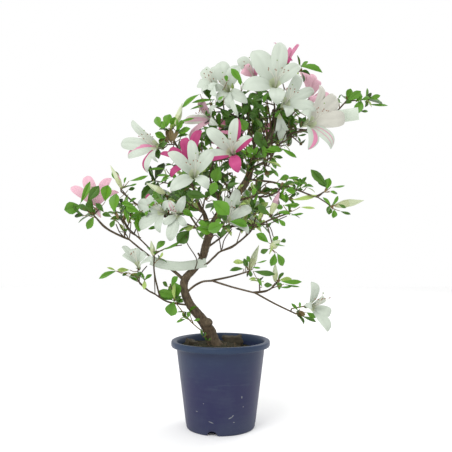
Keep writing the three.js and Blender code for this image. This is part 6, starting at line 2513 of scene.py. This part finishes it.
def pot_pattern(tree, place):
    parts = tree.node("ShaderNodeSeparateXYZ", None, {"Vector": place})
    x, y, height = (Wire(tree.tree, output) for output in parts.outputs)
    haze = speckle(tree, place, 28.0, 5.0, 0.6)
    grain = speckle(tree, place, 600.0, 4.0, 0.7)
    streak = speckle(tree, stretched(tree, place, (0.12, 0.12, 1)), 260.0, 4.0, 0.6)
    low = (1.0 - height / (30 * mm)).held()
    # Painted highlight: from 119 mm up, over the lip and the top of the inner wall, the plastic turns
    # a lighter teal where light falls on the rim.
    lip_highlight = ((height - 119 * mm) / (2 * mm)).held()
    bleached = ((height + haze * (60 * mm) - 96 * mm) / (40 * mm)).held()
    ring = (height - 73 * mm) / (7 * mm)
    worn = (1.0 - ring * ring).held() * ((streak - 0.5) * 6.0).held()
    dust = (haze * 1.2 - 0.56 + low * 0.5 + (streak - 0.5) * 0.5 + worn * 0.3).held()
    flecks = ((grain - 0.66) * 14.0).held() * (low * 0.6 + 0.05)
    marks = (scuff_marks(x, y, height) * grain * 3.0 + flecks).held()
    wall = tree.blended(bleached, seen(34, 36, 72), seen(34, 45, 74))
    # The lip's painted highlight: a lighter teal laid over the wall colour.
    plastic = tree.blended(lip_highlight, wall, seen(33, 50, 76))
    dusty = tree.blended(dust * 0.5, plastic, seen(76, 88, 98))
    return {
        "Base Color": tree.blended(marks * 0.5, dusty, seen(166, 170, 164)),
        "Roughness": dust * 0.25 + 0.4,
        "Normal": bumped(tree, streak * 0.6 + grain * 0.4, 0.0003),
    }


pot_finish = finish("bleached_blue_plastic", pot_pattern, Specular_IOR_Level=0.3)
print("scuffs", len(pot_scuffs), "on", pot_finish.name)

# %% [markdown]
# The lathe leaves many corners in one place at the axis. They are joined, so that the pot is a
# closed solid.

# %% The pot
doubles_distance = 1e-6


def merge_doubles(piece):
    """Closes the poles that the lathe left as doubled corners."""
    shape = bmesh.new()
    shape.from_mesh(piece.data)
    bmesh.ops.remove_doubles(shape, verts=shape.verts, dist=doubles_distance)
    bmesh.ops.recalc_face_normals(shape, faces=shape.faces)
    shape.to_mesh(piece.data)
    shape.free()


pot_piece = made_mesh("nursery_pot", *turned_pot(), [pot_finish])
merge_doubles(pot_piece)
print("pot", len(pot_piece.data.polygons), "faces")

# %% [markdown]
# Compost is crumbs of peat, bark and a little grit. A disc with noise of three sizes gives the
# lie of it. It falls a little to the right and rises towards the back, and is mounded at the
# trunk's foot.

# %% Lie of the compost
soil_edge = 115
soil_top = 121
mound_flat = 20
mound_reach = 46
soil_lean = 0.08
soil_rise = 0.05
soil_sink = 0.4
soil_noise = [(0.07, 1.8), (0.23, 1.3), (0.8, 0.6)]  # lumps a millimetre, and their height
soil_rings = 70
soil_around = 150
soil_radius = 63.4


def soil_height(x, y):
    """How high the compost lies at a place on it."""
    foot = trunk_stations[0]["at"]
    distance = math.hypot(x - foot[0], y - foot[1])
    near = min(1, max(0, (mound_reach - distance) / (mound_reach - mound_flat)))
    mound = (soil_top - soil_edge) * near * near * (3 - 2 * near)
    place = Vector((x, y, 0))
    lumps = sum(mathnoise.noise(place * often) * high for often, high in soil_noise)
    return soil_edge + mound + lumps - x * soil_lean + y * soil_rise - soil_sink


def soil_disc():
    """The top of the compost, as rings round its middle."""
    corners = [(0, 0, soil_height(0, 0))]
    for ring in range(1, soil_rings + 1):
        radius = soil_radius * ring / soil_rings
        for k in range(soil_around):
            angle = k * 2 * math.pi / soil_around
            x, y = radius * math.cos(angle), radius * math.sin(angle)
            corners.append((x, y, soil_height(x, y)))
    faces = [(0, 1 + k, 1 + (k + 1) % soil_around) for k in range(soil_around)]
    return corners, faces + ring_faces(soil_rings, soil_around, 1, True)


print("compost at the trunk's foot", round(soil_height(*trunk_stations[0]["at"][:2]), 1), "mm high")

# %% [markdown]
# The disc is closed with a wall and a floor, which stay inside the pot. Its finish is nearly
# black, with paler crumbs.

# %% Compost
soil_taper = 11
soil_foot = 20


def closed_soil():
    """The disc with a wall and a floor under it, which stay inside the pot."""
    corners, faces = soil_disc()
    first = len(corners)
    foot_radius = soil_radius - soil_taper
    for k in range(soil_around):
        angle = k * 2 * math.pi / soil_around
        corners.append((foot_radius * math.cos(angle), foot_radius * math.sin(angle), soil_foot))
    faces += ring_faces(2, soil_around, first - soil_around, True)
    faces.append(tuple(first + k for k in range(soil_around))[::-1])
    return corners, faces


def soil_pattern(tree, place):
    crumbs = speckle(tree, place, 420.0, 6.0, 0.7)
    patches = speckle(tree, place, 60.0, 3.0)
    dark = tree.blended(patches, seen(46, 46, 32), seen(30, 30, 24))
    return {
        "Base Color": tree.blended((crumbs * 2.4 - 0.9).held(), dark, seen(82, 78, 54)),
        "Normal": bumped(tree, crumbs, 0.0015),
    }


soil_finish = finish("compost", soil_pattern, Roughness=0.95, Specular_IOR_Level=0.15)
corners, faces = closed_soil()
soil_piece = made_mesh("compost", corners, faces, [soil_finish])
print("compost", len(faces), "faces")

# %% [markdown]
# Crumbs, chips and moss lie on the compost in their thousands. Each is one of two small shapes
# with uneven corners: a round crumb, which also makes the tufts of moss, and a flat chip of bark.
# They reach about one unit from their middle, and get their size where they are scattered.

# %% Crumbs and chips
crumb_finish = plain_finish("peat_crumb", seen(72, 68, 48), seen(34, 34, 26), 300.0, 0.95, 0.0006)
chip_finish = plain_finish("bark_chip", seen(94, 76, 50), seen(54, 46, 32), 260.0, 0.9, 0.0006)
fresh_chip_finish = plain_finish("fresh_chip", seen(140, 92, 46), seen(94, 60, 34), 260.0, 0.9)
chunk_finish = plain_finish("bark_chunk", seen(82, 74, 56), seen(44, 40, 32), 240.0, 0.9, 0.0008)
moss_finish = plain_finish("moss", seen(84, 100, 48), seen(50, 66, 32), 500.0, 0.95, 0.0006)
crumb_around = 6
crumb_levels = (-1, 0, 1)
crumb_narrow = 0.55
crumb_breadths = (0.75, 1.15)
crumb_heights = (0.7, 1.1)


def crumb_shape(name, stretch, seed):
    """An uneven lump of three rings, the middle one the widest."""
    corners = []
    draw = seeded(seed)
    for z in crumb_levels:
        for k in range(crumb_around):
            angle = k * 2 * math.pi / crumb_around
            wide = (crumb_narrow if z else 1) * mix(*crumb_breadths, draw())
            corners.append((wide * math.cos(angle) * stretch[0], wide * math.sin(angle) * stretch[1],
                            z * stretch[2] * mix(*crumb_heights, draw())))
    bottom = tuple(range(crumb_around))[::-1]
    top = tuple(range(2 * crumb_around, 3 * crumb_around))
    faces = [bottom, top, *ring_faces(len(crumb_levels), crumb_around)]
    return template(name, corners, faces, [], {})


round_crumb = crumb_shape("round_crumb", (1, 0.8, 0.6), 11)
flat_chip = crumb_shape("flat_bark_chip", (1.5, 0.8, 0.3), 14)
print("shapes", round_crumb.name, flat_chip.name)

# %% [markdown]
# A nodes tree scatters a shape over a patch of the compost. It picks the places at random, and
# turns and sizes each shape by its own number.

# %% The scatter
tilt_range = 0.5


def build_scatter_tree():
    group, tree, given = nodes_tree("scatter", {
        "Shape": "Object", "Density": "Float", "Small": "Float", "Large": "Float",
        "Seed": "Int", "Finish": "Material",
    })
    spread = tree.node("GeometryNodeDistributePointsOnFaces", {"distribute_method": "RANDOM"}, {
        "Mesh": given["Geometry"], "Density": given["Density"], "Seed": given["Seed"],
    })
    points = Wire(group, spread.outputs["Points"])
    turn = tree.wire("FunctionNodeRandomValue", {"data_type": "FLOAT_VECTOR"}, {
        0: (-tilt_range, -tilt_range, 0.0), 1: (tilt_range, tilt_range, round_turn),
        "Seed": given["Seed"],
    })
    size = tree.wire("FunctionNodeRandomValue", {"data_type": "FLOAT"},
                     {2: given["Small"], 3: given["Large"], "Seed": given["Seed"]}, 1)
    placed = repeated(tree, points, given["Shape"], turn, size)
    close_tree(group, tree, placed, given["Finish"])
    return group


def soil_patch(name, radius, lift, places=None):
    """The part of the compost's surface that a scatter falls on, as its own mesh."""
    corners, faces = soil_disc()
    spots = np.array(corners)
    middles = np.array([spots[list(face)].mean(axis=0) for face in faces])
    inside = np.hypot(middles[:, 0], middles[:, 1]) < radius
    if places is not None:
        near = np.zeros(len(middles), bool)
        for x, y, reach in places:
            near |= np.hypot(middles[:, 0] - x, middles[:, 1] - y) < reach
        inside &= near
    spots[:, 2] += lift
    mesh = bpy.data.meshes.new(name)
    chosen = [face for face, wanted in zip(faces, inside) if wanted]
    mesh.from_pydata((spots * mm).tolist(), [], chosen)
    return mesh


scatter_tree = build_scatter_tree()
print("scatter tree", len(scatter_tree.nodes), "nodes")

# %% [markdown]
# What lies where: crumbs and chips of bark all over, fresh chips in one place at the right, and
# moss in five cushions. A place is its middle and its reach, and densities are per square metre.

# %% Litter on the compost
rim_margin = 3.5
fresh_places = [(41, -30, 11)]
moss_places = [(22, -22, 13), (-28, -30, 9), (40, 10, 10), (-10, 40, 14), (5, -42, 7)]
litter = {
    "crumbs": (None, 0.2, round_crumb, 240000.0, 0.5, 1.6, 3, crumb_finish),
    "bark_chips": (None, 0.6, flat_chip, 11000.0, 1.2, 3.0, 5, chip_finish),
    "fresh_chips": (fresh_places, 0.6, flat_chip, 60000.0, 0.9, 2.0, 6, fresh_chip_finish),
    "moss_tufts": (moss_places, 0.2, round_crumb, 600000.0, 0.5, 1.1, 8, moss_finish),
}
litter_pieces = {}
for name, (places, lift, shape, density, small, large, seed, colour) in litter.items():
    patch = soil_patch(name + "_patch", soil_radius - rim_margin, lift, places)
    litter_pieces[name] = grown_piece(name, patch, scatter_tree, {
        "Shape": shape, "Density": density, "Small": small * mm, "Large": large * mm,
        "Seed": seed, "Finish": colour,
    })
    print(name, len(litter_pieces[name].data.polygons), "faces")

# %% [markdown]
# Two lumps lie on the compost: a piece of bark behind the trunk and a clod at the left. Each is
# a block of many small faces whose corners are pushed about by noise, first broadly, then finely.

# %% Lumps on the compost
lump_table = {  # its middle and size in mm, and its turn in radians
    "bark_chunk": ((18.5, 35, 121.5), (28, 10, 17), (0.1, -0.04, -0.1)),
    "clod": ((-47, 20, 120), (14, 12, 13), (0.2, 0.3, 0.5)),
}
block_cuts = 7
broad_noise, broad_push = 0.16, 0.35
fine_noise, fine_push = 0.5, 0.7


def lump(name, middle, size, turn, colour):
    """A block with its faces cut up and its corners pushed about."""
    block = bmesh.new()
    bmesh.ops.create_cube(block, size=1)
    bmesh.ops.subdivide_edges(block, edges=block.edges[:], cuts=block_cuts, use_grid_fill=True)
    corners = []
    for corner in block.verts:
        place = Vector([share * long for share, long in zip(corner.co, size)])
        place *= 1 + mathnoise.noise(place * broad_noise + Vector(middle)) * broad_push
        place += mathnoise.noise_vector(place * fine_noise) * fine_push
        place.rotate(turn)
        corners.append(place + Vector(middle))
    faces = [tuple(corner.index for corner in face.verts) for face in block.faces]
    block.free()
    return made_mesh(name, corners, faces, [colour])


for name, (middle, size, turn) in lump_table.items():
    litter_pieces[name] = lump(name, middle, size, Euler(turn), chunk_finish)
print("litter", list(litter_pieces))

# %% [markdown]
# The two tags are strips of thin pale plastic, left blank. Each is a closed sheet along its path,
# with its breadth upright and a little cupped. A path's points are in millimetres.

# %% Tags
strip_table = [
  dict(name="long_strip", width=14,
    path=[
      [-105, -12, 251], [-88, -11, 245], [-62, -8, 242],
      [-42, -2.6, 244], [-30, -1.2, 246], [-22, 0.5, 247],
    ]),
  dict(name="short_strip", width=20,
    path=[[174, 10.5, 473], [184, 11.5, 475], [200, 5, 476], [213, 0, 477]]),
]
tag_finish = plain_finish("pale_tag", seen(194, 204, 190), seen(182, 192, 176), 120.0, 0.45)
tag_thickness = 0.5
tag_steps = 40
tag_columns = 7
tag_cup = 0.9


def tag(row):
    """A strip's closed sheet along its path."""
    line = smooth_curve(row["path"], tag_steps)
    along = np.gradient(line, axis=0)
    sides = np.linspace(-1, 1, tag_columns)[:, None]
    grid = np.zeros((len(line), tag_columns, 3))
    for index, point in enumerate(line):
        forward = unit(along[index])
        beside = unit(up - forward * up.dot(forward))
        cup = tag_cup * (1 - sides ** 2)
        grid[index] = point + sides * row["width"] / 2 * beside + cup * np.cross(forward, beside)
    return closed_sheet(grid, tag_thickness)


tag_pieces = {}
for row in strip_table:
    corners, faces, rim = tag(row)
    tag_pieces[row["name"]] = made_mesh(row["name"] + "_tag", corners, faces, [tag_finish],
                                        sharp=rim)
print("tags", list(tag_pieces))

# %% [markdown]
# Every piece rides on the one body, and stands for the solids that it replaces. All the pieces
# of foliage stand for all the masses, because they are joined by kind and not by mass.

# %% Pieces and their solids
mass_names = [row["name"] for row in mass_table]
bough_names = [row["name"] for row in bough_table]


def settle(piece, slot, *nodes):
    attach(piece, "root")
    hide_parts(*nodes)


settle(pot_piece, "pot", "pot")
for piece in (soil_piece, *litter_pieces.values()):
    settle(piece, "soil", "soil")
settle(limb_pieces["trunk"], "bark", "trunk")
settle(limb_pieces["bough"], "bark", *bough_names)
for name, piece in tag_pieces.items():
    settle(piece, "strip", name)
for kind in ("twig", "shoot", "filament"):
    settle(limb_pieces[kind], "foliage" if kind == "filament" else "bark", *mass_names)
for piece in (*leaf_pieces.values(), *petal_pieces.values(), bud_piece, *bead_pieces.values()):
    settle(piece, "foliage", *mass_names)
print("pieces settled on the root")

# %% [markdown]
# The stage is a plain pale floor, and the light is a large soft panel in front and above with
# a pale sky all round, as in a studio with white paper.

# %% Stage and light
floor_half = 3.0
panels = {  # place, what it faces, its size and its power
    "key_panel": ((-0.9, -1.5, 1.9), (0, 0, 0.3), 1.4, 26),
    "rim_panel": ((1.2, 1.2, 1.6), (0, 0, 0.35), 1.2, 12),
}


def pale_pattern(tree, place):
    soft = speckle(tree, place, 3.0)
    return {"Base Color": tree.blended(soft, seen(250, 250, 250), seen(248, 248, 248))}


def add_floor():
    mesh = bpy.data.meshes.new("studio_floor")
    corners = [(x * floor_half, y * floor_half, 0) for x, y in ((-1, -1), (1, -1), (1, 1), (-1, 1))]
    mesh.from_pydata(corners, [], [(0, 1, 2, 3)])
    mesh.materials.append(finish("pale_floor", pale_pattern, Roughness=0.9))
    return in_scene("studio_floor", mesh)


def add_panel(name, place, target, size, power):
    data = bpy.data.lights.new(name, "AREA")
    data.shape = "DISK"
    data.size = size
    data.energy = power
    panel = in_scene(name, data)
    panel.location = place
    panel.rotation_euler = (Vector(target) - Vector(place)).to_track_quat("-Z", "Y").to_euler()


def add_sky():
    world = bpy.data.worlds.new("pale_studio")
    world.use_nodes = True
    background = world.node_tree.nodes["Background"]
    background.inputs["Color"].default_value = (1, 1, 1, 1)
    background.inputs["Strength"].default_value = 1.0
    bpy.context.scene.world = world


floor = add_floor()
for name, values in panels.items():
    add_panel(name, *values)
add_sky()
bpy.context.scene.view_settings.view_transform = "Standard"
print("stage set with", list(panels))
